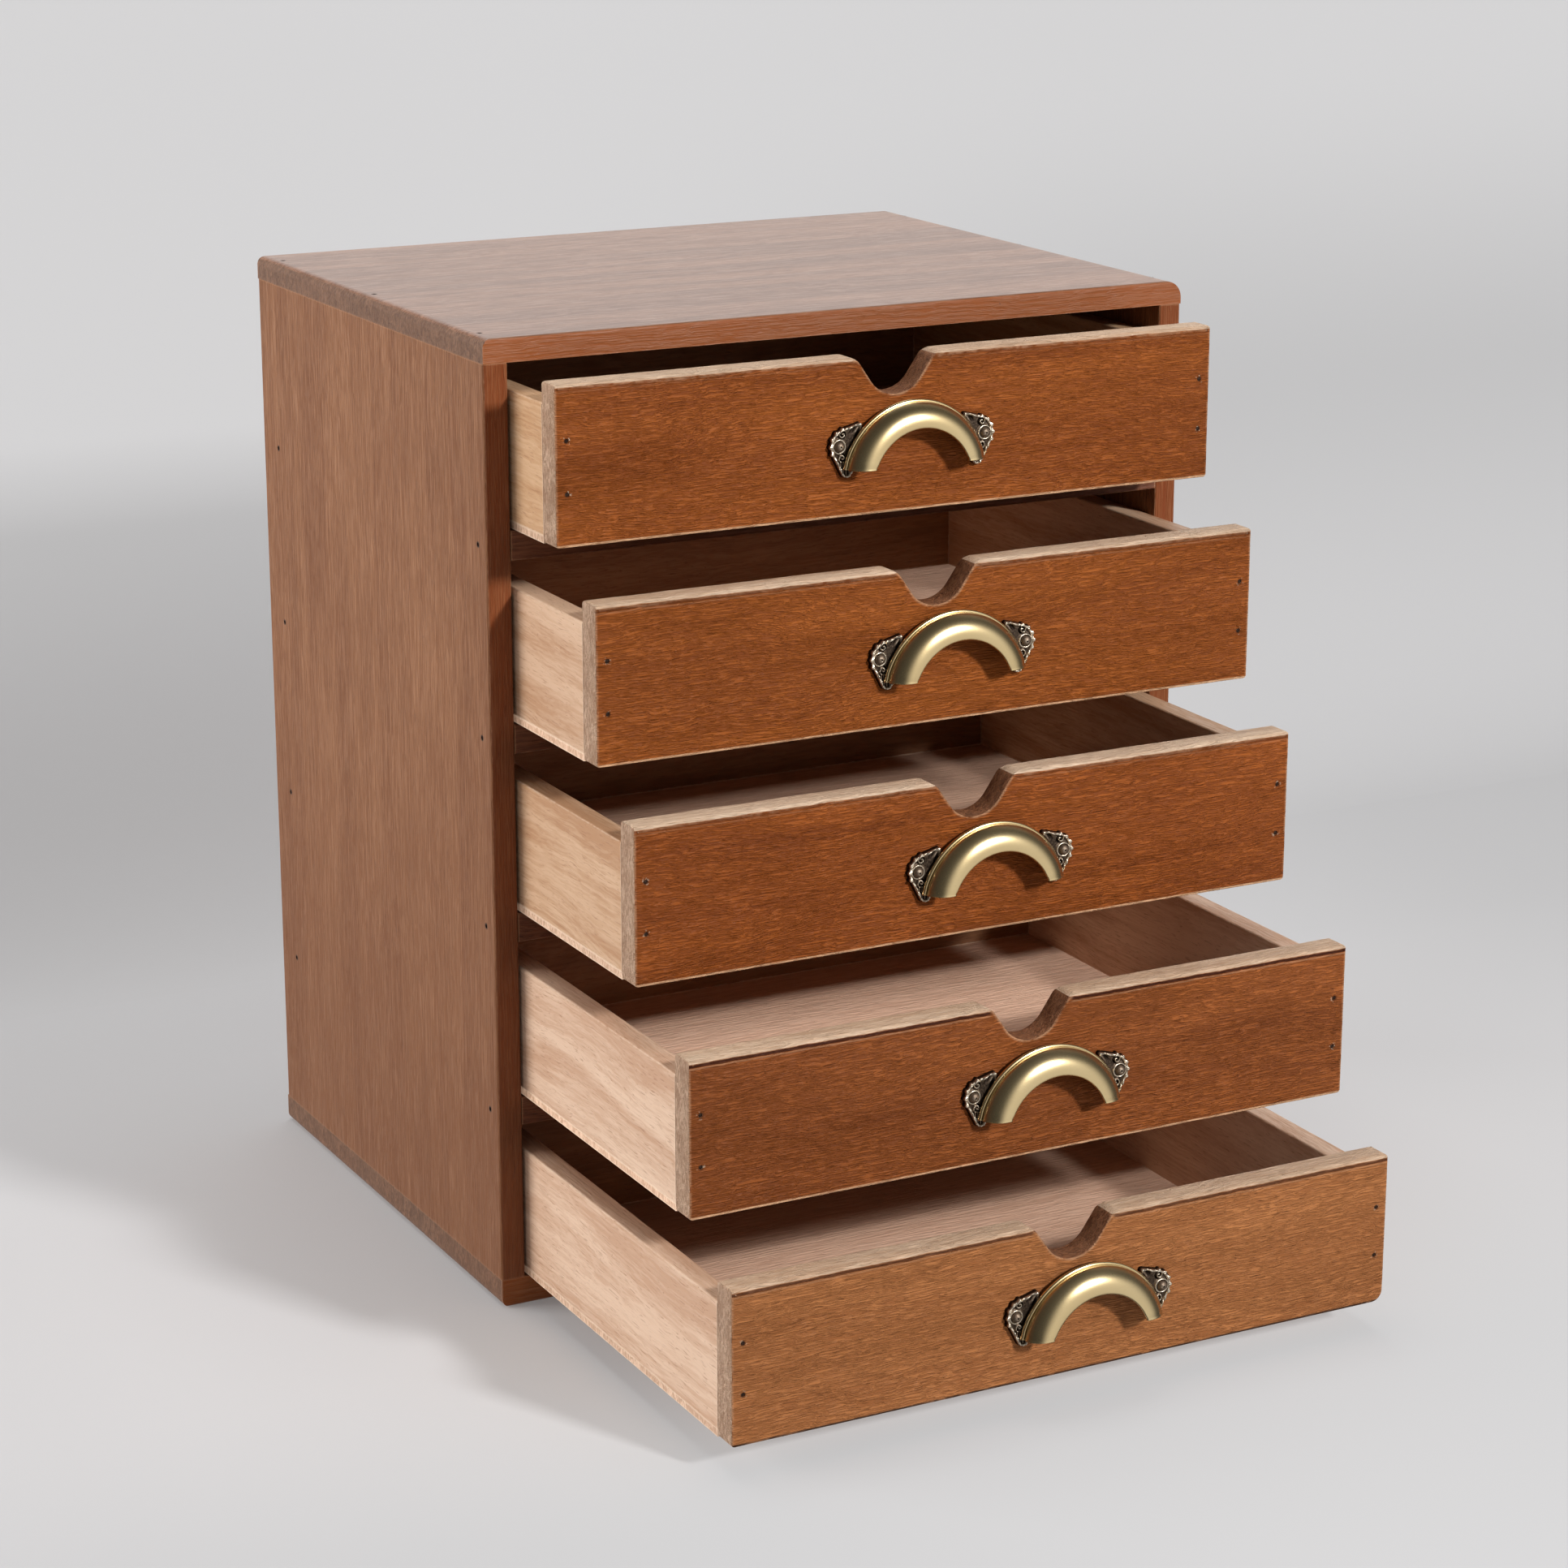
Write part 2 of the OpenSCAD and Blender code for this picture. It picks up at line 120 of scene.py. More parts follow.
class Sheet:
    """Adds nodes to one shader tree and wires them."""

    # Where a Mix node has its two colours and its mixed colour.
    MIX_INPUTS = (6, 7)
    MIX_OUTPUT = 2

    def __init__(self, tree: bpy.types.NodeTree) -> None:
        """Takes the tree that the nodes go in."""
        self.tree = tree

    def add(self, kind: str, *values: Feed, **settings: object) -> bpy.types.Node:
        """Adds a node.

        Args:
            kind: The node's Blender type.
            *values: What its inputs take, in order.
            **settings: Its properties, such as operation.

        Returns:
            The node.
        """
        node = self.tree.nodes.new(kind)
        for name, value in settings.items():
            setattr(node, name, value)
        for socket, value in zip(node.inputs, values):
            self.feed(socket, value)
        return node

    def feed(self, socket: Socket, value: Feed) -> None:
        """Links an output to an input, or sets a constant on it.

        Args:
            socket: The input.
            value: The output or the constant.
        """
        value = value.socket if isinstance(value, Value) else value
        if isinstance(value, bpy.types.NodeSocket):
            self.tree.links.new(value, socket)
        else:
            socket.default_value = value

    def maths(self, operation: str, *values: Feed, clamp: bool = False) -> Value:
        """Adds a Math node, held between 0 and 1 if clamped, and returns its result."""
        node = self.add("ShaderNodeMath", *values, operation=operation, use_clamp=clamp)
        return Value(self, node.outputs[0])

    def vector(self, operation: str, *values: Feed) -> Socket:
        """Adds a Vector Math node and returns its vector."""
        return self.add("ShaderNodeVectorMath", *values, operation=operation).outputs[0]

    def split(self, vector: Socket) -> tuple[Value, ...]:
        """Returns the three parts of a vector."""
        return tuple(Value(self, part) for part in self.add("ShaderNodeSeparateXYZ", vector).outputs)

    def join(self, *parts: Feed) -> Socket:
        """Returns a vector made of three parts."""
        return self.add("ShaderNodeCombineXYZ", *parts).outputs[0]

    def mix(self, share: Feed, first: Feed, second: Feed, blend: str = "MIX") -> Socket:
        """Blends two colours.

        Args:
            share: How much of the second colour shows, 0 to 1.
            first: The colour underneath.
            second: The colour over it.
            blend: The node's blend type.

        Returns:
            The colour.
        """
        node = self.add("ShaderNodeMix", share, data_type="RGBA", blend_type=blend)
        for spot, colour in zip(self.MIX_INPUTS, (first, second)):
            self.feed(node.inputs[spot], colour)
        return node.outputs[self.MIX_OUTPUT]

    def layers(self, base: Feed, *coats: tuple[Feed, Feed]) -> Socket:
        """Lays coats of colour over a base.

        Args:
            base: The colour underneath.
            *coats: The share, 0 to 1, and the colour of each coat, in order.

        Returns:
            The colour.
        """
        for share, colour in coats:
            base = self.mix(share, base, colour)
        return base

    def noise(self, place: Socket, scale: Feed = 1.0, detail: float = 2.0, rough: float = 0.5,
              bend: float = 0.0, stretch: Sequence[float] = ()) -> Value:
        """Adds 3-D noise.

        Args:
            place: Where it is read.
            scale: How fine it is.
            detail: Octaves.
            rough: Strength of the finer octaves.
            bend: Distortion.
            stretch: How fine it is along each axis, if that differs.

        Returns:
            The value, about 0.5 on average.
        """
        node = self.add("ShaderNodeTexNoise")
        place = self.vector("MULTIPLY", place, stretch) if stretch else place
        for label, value in {"Vector": place, "Scale": scale, "Detail": detail, "Roughness": rough,
                             "Distortion": bend}.items():
            self.feed(node.inputs[label], value)
        return Value(self, node.outputs[0])

    def ramp(self, value: Feed, low: Feed, high: Feed, first: Feed = 0.0, last: Feed = 1.0) -> Value:
        """Moves smoothly from a first level at low to a last level at high."""
        return Value(self, self.add("ShaderNodeMapRange", value, low, high, first, last,
                                    interpolation_type="SMOOTHSTEP").outputs[0])

    def band(self, value: Feed, *edges: float) -> Value:
        """Masks what lies between four edges: those of the mask's rise, then those of its fall."""
        return self.ramp(value, edges[0], edges[1]) * self.ramp(value, edges[2], edges[3], 1.0, 0.0)

    def attribute(self, name: str) -> Value:
        """Reads a number that the mesh's points carry."""
        return Value(self, self.add("ShaderNodeAttribute", attribute_name=name).outputs["Fac"])

    def group(self, tree: bpy.types.NodeTree, **inputs: Feed) -> dict[str, Value]:
        """Places a node group.

        Args:
            tree: The group.
            **inputs: What its inputs take, by name.

        Returns:
            Its outputs by name.
        """
        node = self.add("ShaderNodeGroup", node_tree=tree)
        for name, value in inputs.items():
            self.feed(node.inputs[name], value)
        return {output.name: Value(self, output) for output in node.outputs}


class Group:
    """A shader node group in the making."""

    def __init__(self, name: str, outputs: Sequence[str], **inputs: float | Sequence[float]) -> None:
        """Opens the group.

        Args:
            name: Its name.
            outputs: The names of its outputs, all numbers.
            **inputs: Each input's default, a number or three numbers.
        """
        self.tree = bpy.data.node_groups.new(name, "ShaderNodeTree")
        self.sheet = Sheet(self.tree)
        for label, default in inputs.items():
            kind = "NodeSocketFloat" if isinstance(default, float) else "NodeSocketVector"
            self.tree.interface.new_socket(label, in_out="INPUT", socket_type=kind).default_value = default
        for label in outputs:
            self.tree.interface.new_socket(label, in_out="OUTPUT", socket_type="NodeSocketFloat")
        start = self.sheet.add("NodeGroupInput")
        self.given = {label: Value(self.sheet, start.outputs[label]) for label in inputs}
        self.end = self.sheet.add("NodeGroupOutput")

    def close(self, **values: Value) -> bpy.types.NodeTree:
        """Ends the group.

        Args:
            **values: What its outputs give, by name.

        Returns:
            The group.
        """
        for label, value in values.items():
            self.sheet.feed(self.end.inputs[label], value)
        return self.tree


# ---- Shared effects -------------------------------------------------------------------

ORIGIN = (0.0, 0.0, 0.0)


class Effects:
    """The shader node groups that more than one finish uses."""

    SEED_SHIFT = (37.1, 17.3, 53.7)
    # How fine each pattern is along the grain and across it.
    LONG_WAVE = (0.011, 0.03, 0.03)
    SHORT_WAVE = (0.13, 0.2, 0.2)
    FIGURE = (0.0045, 0.07, 0.07)
    PORES = (0.16, 2.6, 2.6)
    STROKES = (0.55, 0.75, 0.3)

    def __init__(self) -> None:
        """Builds every group once."""
        self.grain = self.make_grain()
        self.end_grain = self.make_end_grain()
        self.arris = self.make_arris()
        self.soil = self.make_soil()

    def make_grain(self) -> bpy.types.NodeTree:
        """Builds long grain: fine wavy fibres, broad figure and short open pores.

        Returns:
            The group. Place is in millimetres with the grain along X.
        """
        group = Group("long_grain", ("Fibre", "Figure", "Pores", "Relief"), Place=ORIGIN, Seed=0.0,
                      Waviness=1.0, Fineness=1.0, Shortness=0.075)
        sheet, given = group.sheet, group.given
        seed, fineness = given["Seed"], given["Fineness"]
        shift = sheet.vector("MULTIPLY", sheet.join(seed, seed, seed), self.SEED_SHIFT)
        place = sheet.vector("ADD", given["Place"], shift)
        long_wave = sheet.noise(place, detail=1.0, stretch=self.LONG_WAVE)
        short_wave = sheet.noise(place, detail=1.0, stretch=self.SHORT_WAVE)
        sway = ((long_wave - 0.5) * 11.0 + (short_wave - 0.5) * 1.3) * given["Waviness"]
        swayed = sheet.vector("ADD", place, sheet.join(0.0, sway, sway))
        fine = sheet.vector("MULTIPLY", swayed, sheet.join(fineness * given["Shortness"], fineness, fineness))
        fibre = sheet.ramp(sheet.noise(fine, 1.05, 2.0, 0.6), 0.36, 0.64)
        figure = sheet.noise(swayed, 1.0, 4.0, 0.6, 0.5, stretch=self.FIGURE)
        pores = sheet.ramp(sheet.noise(swayed, 1.0, 1.0, stretch=self.PORES), 0.6, 0.74)
        return group.close(Fibre=fibre, Figure=sheet.ramp(figure, 0.3, 0.7), Pores=pores,
                           Relief=fibre - pores * 0.55)

    def make_end_grain(self) -> bpy.types.NodeTree:
        """Builds end grain: short bent strokes in soft blotches.

        Returns:
            The group. Place is in millimetres.
        """
        group = Group("end_grain", ("Strokes", "Blotch", "Relief"), Place=ORIGIN, Seed=0.0)
        sheet, seed = group.sheet, group.given["Seed"]
        place = sheet.vector("ADD", group.given["Place"], sheet.join(seed, seed * 7.7, seed))
        strokes = sheet.noise(place, 1.0, 2.5, 0.6, 1.4, stretch=self.STROKES)
        blotch = sheet.noise(place, 0.11, 3.0, 0.6, 0.5)
        return group.close(Strokes=sheet.ramp(strokes, 0.36, 0.66), Blotch=sheet.ramp(blotch, 0.32, 0.7),
                           Relief=strokes)

    @staticmethod
    def make_arris() -> bpy.types.NodeTree:
        """Builds the mask of a box's arrises, from how near a point lies to two of its faces. The pale colour
        laid with it is rubbed wood and partly a painted highlight along the sharp edges.

        Returns:
            The group. Place, Low, High and Width are in metres.
        """
        group = Group("arris_wear", ("Rim",), Place=ORIGIN, Low=ORIGIN, High=(1.0, 1.0, 1.0), Width=0.001,
                      Ragged=0.5)
        sheet, given = group.sheet, group.given
        inside = sheet.vector("MINIMUM", sheet.vector("SUBTRACT", given["Place"], given["Low"]),
                              sheet.vector("SUBTRACT", given["High"], given["Place"]))
        first, second, third = sheet.split(inside)
        near = sheet.maths("MAXIMUM", sheet.maths("MINIMUM", first, second),
                           sheet.maths("MINIMUM", sheet.maths("MAXIMUM", first, second), third))
        rough = sheet.noise(given["Place"], 420.0, 3.0, 0.6)
        reach = ((rough - 0.5) * (given["Ragged"] * 3.0) + 1.0) * given["Width"]
        return group.close(Rim=sheet.ramp(near, reach * 0.35, reach, 1.0, 0.0))

    @staticmethod
    def make_soil() -> bpy.types.NodeTree:
        """Builds broad uneven tone: handled, faded and sun-browned areas, and a few fine specks.

        Returns:
            The group. Place is in metres.
        """
        group = Group("handled_tone", ("Tone", "Specks"), Place=ORIGIN, Seed=0.0)
        sheet, seed = group.sheet, group.given["Seed"]
        place = sheet.vector("ADD", group.given["Place"], sheet.join(seed, seed, seed))
        tone = sheet.noise(place, 16.0, 3.0, 0.55, 0.4)
        return group.close(Tone=sheet.ramp(tone, 0.3, 0.7),
                           Specks=sheet.ramp(sheet.noise(place, 900.0, 1.0), 0.73, 0.8))


@dataclass(frozen=True)
class Timber:
    """The colours of one timber surface.

    Attributes:
        light: Its lighter fibres.
        dark: Its darker fibres.
        pore: Its open pores.
        fibre: How strongly the fibres show, 0 to 1.
        figure: How strongly the broad figure shows, 0 to 1.
        relief: Height of the fibres in metres.
        wave: How far the grain sways.
        fine: How fine the grain is.
        short: How short its fibres are, against their width.
        open: How strongly the open pores show, 0 to 1.
    """

    light: Colour
    dark: Colour
    pore: Colour
    fibre: float = 0.6
    figure: float = 0.5
    relief: float = 0.00016
    wave: float = 1.0
    fine: float = 1.0
    short: float = 0.075
    open: float = 0.55


@dataclass(frozen=True)
class Surface:
    """What a finish hands to its shader."""

    colour: Socket
    roughness: Feed
    height: Value


class Finish:
    """Common parts of every finish: the material, its coordinates and its shader."""

    def __init__(self, name: str, effects: Effects) -> None:
        """Starts the material.

        Args:
            name: The material's name.
            effects: The shared node groups.
        """
        self.material = bpy.data.materials.new(name)
        self.material.use_nodes = True
        self.material.node_tree.nodes.clear()
        self.effects = effects
        self.sheet = Sheet(self.material.node_tree)
        self.place = self.sheet.add("ShaderNodeTexCoord").outputs["Object"]
        self.normal = self.sheet.add("ShaderNodeNewGeometry").outputs["Normal"]

    def millimetres(self, grain: Grain) -> Socket:
        """Measures the place along the grain.

        Args:
            grain: The grain's axis.

        Returns:
            The place in millimetres, with the grain's axis first.
        """
        parts = dict(zip("XYZ", self.sheet.split(self.place)))
        turned = self.sheet.join(*(parts[axis] for axis in grain.value))
        return self.sheet.vector("MULTIPLY", turned, (1000.0, 1000.0, 1000.0))

    def facing(self, axis: str, low: float = 0.6, high: float = 0.8, signed: int = 0) -> Value:
        """Masks the faces that look along an axis.

        Args:
            axis: X, Y or Z.
            low: The normal's share at which the mask starts.
            high: The share at which it is full.
            signed: 1 or -1 for one direction only, 0 for both.

        Returns:
            The mask.
        """
        part = dict(zip("XYZ", self.sheet.split(self.normal)))[axis]
        return self.sheet.ramp(part * float(signed) if signed else abs(part), low, high)

    def nearest(self, places: Sequence[Vector]) -> Value:
        """Measures how far the nearest of some places is.

        Args:
            places: The places, in metres.

        Returns:
            The distance in metres.
        """
        near: Feed = 1.0
        for place in places:
            apart = self.sheet.add("ShaderNodeVectorMath", self.place, tuple(place), operation="DISTANCE")
            near = self.sheet.maths("MINIMUM", near, apart.outputs["Value"])
        return near

    def soil(self, seed: float) -> dict[str, Value]:
        """Returns the handled tone and its specks."""
        return self.sheet.group(self.effects.soil, Place=self.place, Seed=seed)

    def cut_grain(self, grain: Grain, seed: float) -> dict[str, Value]:
        """Returns the marks of end grain."""
        return self.sheet.group(self.effects.end_grain, Place=self.millimetres(grain), Seed=seed)

    def cut_colour(self, cut: dict[str, Value], tones: tuple[Colour, Colour], blotch: float) -> Socket:
        """Colours cut ends, from their marks, the light and dark tones and the blotches' strength."""
        colour = self.sheet.mix(cut["Strokes"], tones[1], tones[0])
        return self.sheet.mix(cut["Blotch"] * blotch, colour, tones[1])

    def long_grain(self, timber: Timber, grain: Grain, seed: float) -> Surface:
        """Lays one timber's long grain.

        Args:
            timber: Its colours and strengths.
            grain: The grain's axis.
            seed: Which stretch of the pattern is used.

        Returns:
            The surface.
        """
        sheet = self.sheet
        lines = sheet.group(self.effects.grain, Place=self.millimetres(grain), Seed=seed,
                            Waviness=timber.wave, Fineness=timber.fine, Shortness=timber.short)
        share = (lines["Fibre"] - 0.5) * timber.fibre + 0.5
        share = sheet.maths("ADD", (lines["Figure"] - 0.5) * timber.figure, share, clamp=True)
        colour = sheet.layers(timber.dark, (share, timber.light), (lines["Pores"] * timber.open, timber.pore))
        return Surface(colour, sheet.ramp(lines["Fibre"], 0.0, 1.0, 0.56, 0.44), lines["Relief"])

    def close(self, surface: Surface, relief: float, specular: float = 0.5, coat: Feed = 0.0,
              metal: Feed = 0.0) -> bpy.types.Material:
        """Ends the material with its shader.

        Args:
            surface: Colour, roughness and height.
            relief: What a height of 1 stands for, in metres.
            specular: Strength of the plain reflection.
            coat: Strength of the coat over it.
            metal: How metallic it is.

        Returns:
            The material.
        """
        sheet = self.sheet
        shader = sheet.add("ShaderNodeBsdfPrincipled")
        bump = sheet.add("ShaderNodeBump")
        bump.inputs["Distance"].default_value = relief
        sheet.feed(bump.inputs["Height"], surface.height)
        for label, value in {"Base Color": surface.colour, "Roughness": surface.roughness, "Metallic": metal,
                             "Normal": bump.outputs[0], "Specular IOR Level": specular, "Coat Weight": coat,
                             "Coat Roughness": COAT_ROUGHNESS}.items():
            sheet.feed(shader.inputs[label], value)
        sheet.add("ShaderNodeOutputMaterial", shader.outputs[0])
        return self.material


# ---- Finishes -------------------------------------------------------------------------

COAT_ROUGHNESS = 0.3
SOILED = 0.22
PIN_STAIN_REACH = (0.9 * MM, 1.35 * MM)


@dataclass(frozen=True)
class BoardFinish:
    """A stained or bare board: long grain, end grain on its cut ends and pale arrises, rubbed and partly a
    painted highlight.

    Attributes:
        name: The material's name.
        timber: Colours of its long grain.
        ends: Colour of its cut ends, light and dark.
        rubbed: Colour of the arrises, rubbed wood and partly a painted highlight.
        grain: The grain's axis.
        seed: Which stretch of the pattern is used.
        wear: Width of the pale arrises, rubbed and partly a painted highlight, in metres.
        gloss: Strength of the plain reflection.
        coat: Strength of the oil's sheen on its level faces.
        rub: How strongly the pale arris colour shows, rubbed wood and partly a painted highlight, 0 to 1.
        edge: Stain over the edge that looks out over the drawers, if it has one.
        foot: How much darker the board is at its foot, 0 to 1.
        pins: Places of the pins that stain the wood round them.
    """

    name: str
    timber: Timber
    ends: tuple[Colour, Colour]
    rubbed: Colour
    grain: Grain
    seed: float
    wear: float = 0.0005
    gloss: float = 0.25
    coat: float = 0.0
    rub: float = 0.45
    edge: Colour | None = None
    foot: float = 0.0
    pins: tuple[Vector, ...] = ()

    def make(self, effects: Effects, low: Vector, high: Vector) -> bpy.types.Material:
        """Builds the material for a board that fills a box.

        Args:
            effects: The shared node groups.
            low: The box's lowest corner.
            high: Its highest corner.

        Returns:
            The material.
        """
        finish = Finish(self.name, effects)
        sheet, timber = finish.sheet, self.timber
        face = finish.long_grain(timber, self.grain, self.seed)
        cut = finish.cut_grain(self.grain, self.seed)
        at_end = finish.facing(self.grain.value[0])
        tone = finish.soil(self.seed)
        # The rim mask lays the pale arris colour: rubbed wood and partly a painted highlight along the board's
        # sharp edges.
        rim = sheet.group(effects.arris, Place=finish.place, Low=tuple(low), High=tuple(high),
                          Width=self.wear, Ragged=0.8)["Rim"]
        colour = face.colour
        if self.edge:
            stained = sheet.mix(face.height * 0.3, self.edge, timber.light)
            colour = sheet.mix(finish.facing("Y", 0.6, 0.85, -1) * 0.92, colour, stained)
        colour = sheet.layers(colour, (at_end, finish.cut_colour(cut, self.ends, 0.45)),
                              (tone["Tone"] * SOILED, timber.dark), (tone["Specks"] * 0.5, timber.pore),
                              (rim * self.rub, self.rubbed))
        if self.foot:
            sunk = sheet.ramp(sheet.split(finish.place)[2], 0.02, 0.26, self.foot, 0.0)
            colour = sheet.mix(sunk, colour, timber.dark)
        coat: Feed = self.coat
        if self.pins:
            ring = sheet.ramp(finish.nearest(self.pins), *PIN_STAIN_REACH, 0.92, 0.0)
            colour = sheet.mix(ring, colour, PIN_STAIN_AND_PAINTED_SHADOW)
            coat = (1.0 - ring) * self.coat
        height = face.height * (1.0 - at_end) + cut["Relief"] * at_end
        return finish.close(Surface(colour, face.roughness, height), timber.relief, self.gloss,
                            finish.facing("Z", 0.8, 0.99) * coat)


@dataclass(frozen=True)
class FrontFinish:
    """A drawer front: stained face, bare rubbed top and ends, and a mottled notch.

    Attributes:
        name: The material's name.
        timber: Colours of the stained face.
        seed: Which stretch of the pattern is used.
        shade: How much darker the face's left end is, 0 to 1.
        line: How dark the line under the bare top edge is, 0 to 1.
        chips: How much the face is chipped round its pins, 0 to 1.
        foot: Colour of the bottom arris: on the upper fronts a pale line, rubbed and partly a painted
            highlight; on the lowest front a dark painted contact shadow.
    """

    name: str
    timber: Timber
    seed: float
    shade: float
    line: float
    chips: float
    foot: Colour

    def make(self, effects: Effects, size: "FrontSize", low: Vector, high: Vector) -> bpy.types.Material:
        """Builds the material for one front.

        Args:
            effects: The shared node groups.
            size: The front's sizes.
            low: The front's lowest corner.
            high: Its highest corner.

        Returns:
            The material.
        """
        finish = Finish(self.name, effects)
        sheet, timber, place = finish.sheet, self.timber, finish.place
        stained = finish.long_grain(timber, Grain.ALONG_X, self.seed)
        bare = finish.long_grain(BARE_TIMBER, Grain.ALONG_X, self.seed + 3)
        cut = finish.cut_grain(Grain.ALONG_X, self.seed)
        across, _, up = sheet.split(place)
        aside = abs(across)

        # The stained face, darker along its heart and towards its left end.
        drift = sheet.noise(place, 1.0, 3.0, 0.6, stretch=(14.0, 14.0, 60.0))
        middle = (low.z + high.z) / 2 - 3 * MM
        heart = sheet.ramp((drift - 0.5) * (30 * MM) + abs(up - middle), 5 * MM, 15 * MM, SOILED, 0.0)
        left = sheet.ramp(across, low.x, low.x + 90 * MM, self.shade, 0.0)
        face = sheet.layers(stained.colour, (finish.soil(self.seed)["Tone"] * SOILED, timber.dark),
                            (heart, timber.dark), (left, timber.dark))

        # The bare top edge, the dark line and the pale ridge line below it, all a little wavy, and the foot
        # line. The pale arrises are rubbed wood and partly a painted highlight.
        front = finish.facing("Y", 0.75, 0.9, -1)
        back = finish.facing("Y", 0.75, 0.9, 1)
        wobble = sheet.noise(place, 1.0, 3.0, 0.6, stretch=(90.0, 0.0, 0.0))
        drop = (wobble - 0.5) * (0.9 * MM) + (high.z - up)
        at_end = finish.facing("X", 0.55, 0.75) * sheet.ramp(aside, high.x - 3 * MM, high.x - 2 * MM)
        on_top = sheet.ramp(drop, 0.95 * MM, 1.15 * MM, 1.0, 0.0) * (1.0 - at_end)
        rag = sheet.ramp(sheet.noise(place, 260.0, 3.0, 0.6), 0.3, 0.56)
        worn_and_highlit = sheet.attribute("arris") * rag * (on_top * -0.8 + 0.85)
        along_top = front * sheet.ramp(aside, size.notch_w / 2 - 3.5 * MM, size.notch_w / 2 - 1.5 * MM)
        line = sheet.band(drop, 1.1 * MM, 1.35 * MM, 2.0 * MM, 2.4 * MM) * along_top
        ridge = sheet.band(drop, 2.3 * MM, 2.5 * MM, 2.7 * MM, 3.1 * MM) * along_top
        # The foot line along the bottom arris: pale on the upper fronts, rubbed and partly a painted
        # highlight; dark on the lowest front, a painted contact shadow.
        foot = sheet.ramp(up - low.z, 0.6 * MM, 1.05 * MM, 1.0, 0.0) * sheet.ramp(
            sheet.noise(place, 180.0, 2.0), 0.3, 0.5, 0.45, 0.9)

        # Chips and bruises round the pins.
        beside = aside - size.pin_x
        over = sheet.maths("MINIMUM", *(abs(up - (low.z + pin)) for pin in (size.pin_low, size.pin_high)))
        away = sheet.maths("SQRT", beside * beside + over * over)
        chip = sheet.ramp(away, 0.8 * MM, 1.8 * MM, self.chips, 0.0) * sheet.ramp(
            sheet.noise(place, 1100.0, 1.0), 0.58, 0.64)
        bruise = sheet.ramp(away, 0.6 * MM, 1.3 * MM, 1.0, 0.0) * 0.5

        colour = sheet.layers(
            sheet.mix(cut["Strokes"], NOTCH_CUT[1], NOTCH_CUT[0]), (front, face),
            (at_end, finish.cut_colour(cut, END_BARE, 0.5)),
            (sheet.maths("MAXIMUM", on_top, back), bare.colour), (worn_and_highlit, RUBBED_AND_HIGHLIT),
            (line * self.line, timber.pore), (ridge * (self.line * 0.5), RUBBED_AND_HIGHLIT),
            (foot * (1.0 - at_end), self.foot), (chip, BARE_TIMBER.light))
        colour = sheet.mix(bruise, colour, timber.pore, "MULTIPLY")
        surface = Surface(colour, stained.roughness, stained.height - chip * 0.7)
        return finish.close(surface, timber.relief, 0.16)


@dataclass(frozen=True)
class BrassFinish:
    """Satin antique brass, darker where the polish didn't reach, with a painted dark reflection on the arch's
    outer flank.
    """

    name: str
    bright: Colour
    olive: Colour
    patina_and_painted_reflection: Colour

    def make(self, effects: Effects) -> bpy.types.Material:
        """Builds the material; the piece's patina attribute darkens walls and hollows and paints a dark
        reflection band on the outer flank.

        Args:
            effects: The shared node groups.

        Returns:
            The material.
        """
        finish = Finish(self.name, effects)
        sheet = finish.sheet
        brushed = sheet.noise(finish.place, 1.0, 2.0, stretch=(900.0, 900.0, 2600.0))
        patina_and_painted_reflection = sheet.maths("ADD", (brushed - 0.5) * 0.2, sheet.attribute("patina_and_painted_reflection"), clamp=True)
        colour = sheet.layers(self.bright, (finish.soil(4.0)["Tone"] * 0.4, self.olive),
                              (patina_and_painted_reflection, self.patina_and_painted_reflection))
        surface = Surface(colour, sheet.ramp(patina_and_painted_reflection, 0.0, 1.0, 0.26, 0.5), brushed)
        return finish.close(surface, 0.008 * MM, metal=1.0)


@dataclass(frozen=True)
class CastFinish:
    """Dark antiqued casting with rubbed high points, driven by the piece's relief attribute."""

    name: str
    deep: Colour
    body: Colour
    rubbed: Colour

    def make(self, effects: Effects) -> bpy.types.Material:
        """Builds the material.

        Args:
            effects: The shared node groups.

        Returns:
            The material.
        """
        finish = Finish(self.name, effects)
        sheet = finish.sheet
        pits = sheet.noise(finish.place, 1900.0, 3.0, 0.6)
        level = (pits - 0.5) * 0.45 + sheet.attribute("relief")
        rub = sheet.ramp(level, 0.55, 0.85)
        colour = sheet.layers(self.deep, (sheet.ramp(level, 0.12, 0.42), self.body), (rub, self.rubbed))
        surface = Surface(colour, sheet.ramp(rub, 0.0, 1.0, 0.55, 0.3), pits)
        return finish.close(surface, 0.06 * MM, metal=0.9)


@dataclass(frozen=True)
class PinFinish:
    """Browned steel pin heads with a little rust."""

    name: str
    steel: Colour
    rust: Colour

    def make(self, effects: Effects) -> bpy.types.Material:
        """Builds the material.

        Args:
            effects: The shared node groups.

        Returns:
            The material.
        """
        finish = Finish(self.name, effects)
        sheet = finish.sheet
        rust = sheet.ramp(sheet.noise(finish.place, 1500.0, 3.0, 0.6), 0.42, 0.6)
        colour = sheet.mix(rust, self.steel, self.rust)
        surface = Surface(colour, sheet.ramp(rust, 0.0, 1.0, 0.55, 0.85), rust)
        return finish.close(surface, 0.03 * MM, 0.2, metal=(1.0 - rust) * 0.5)


# ---- Colours --------------------------------------------------------------------------

PORE = srgb(72, 32, 13)
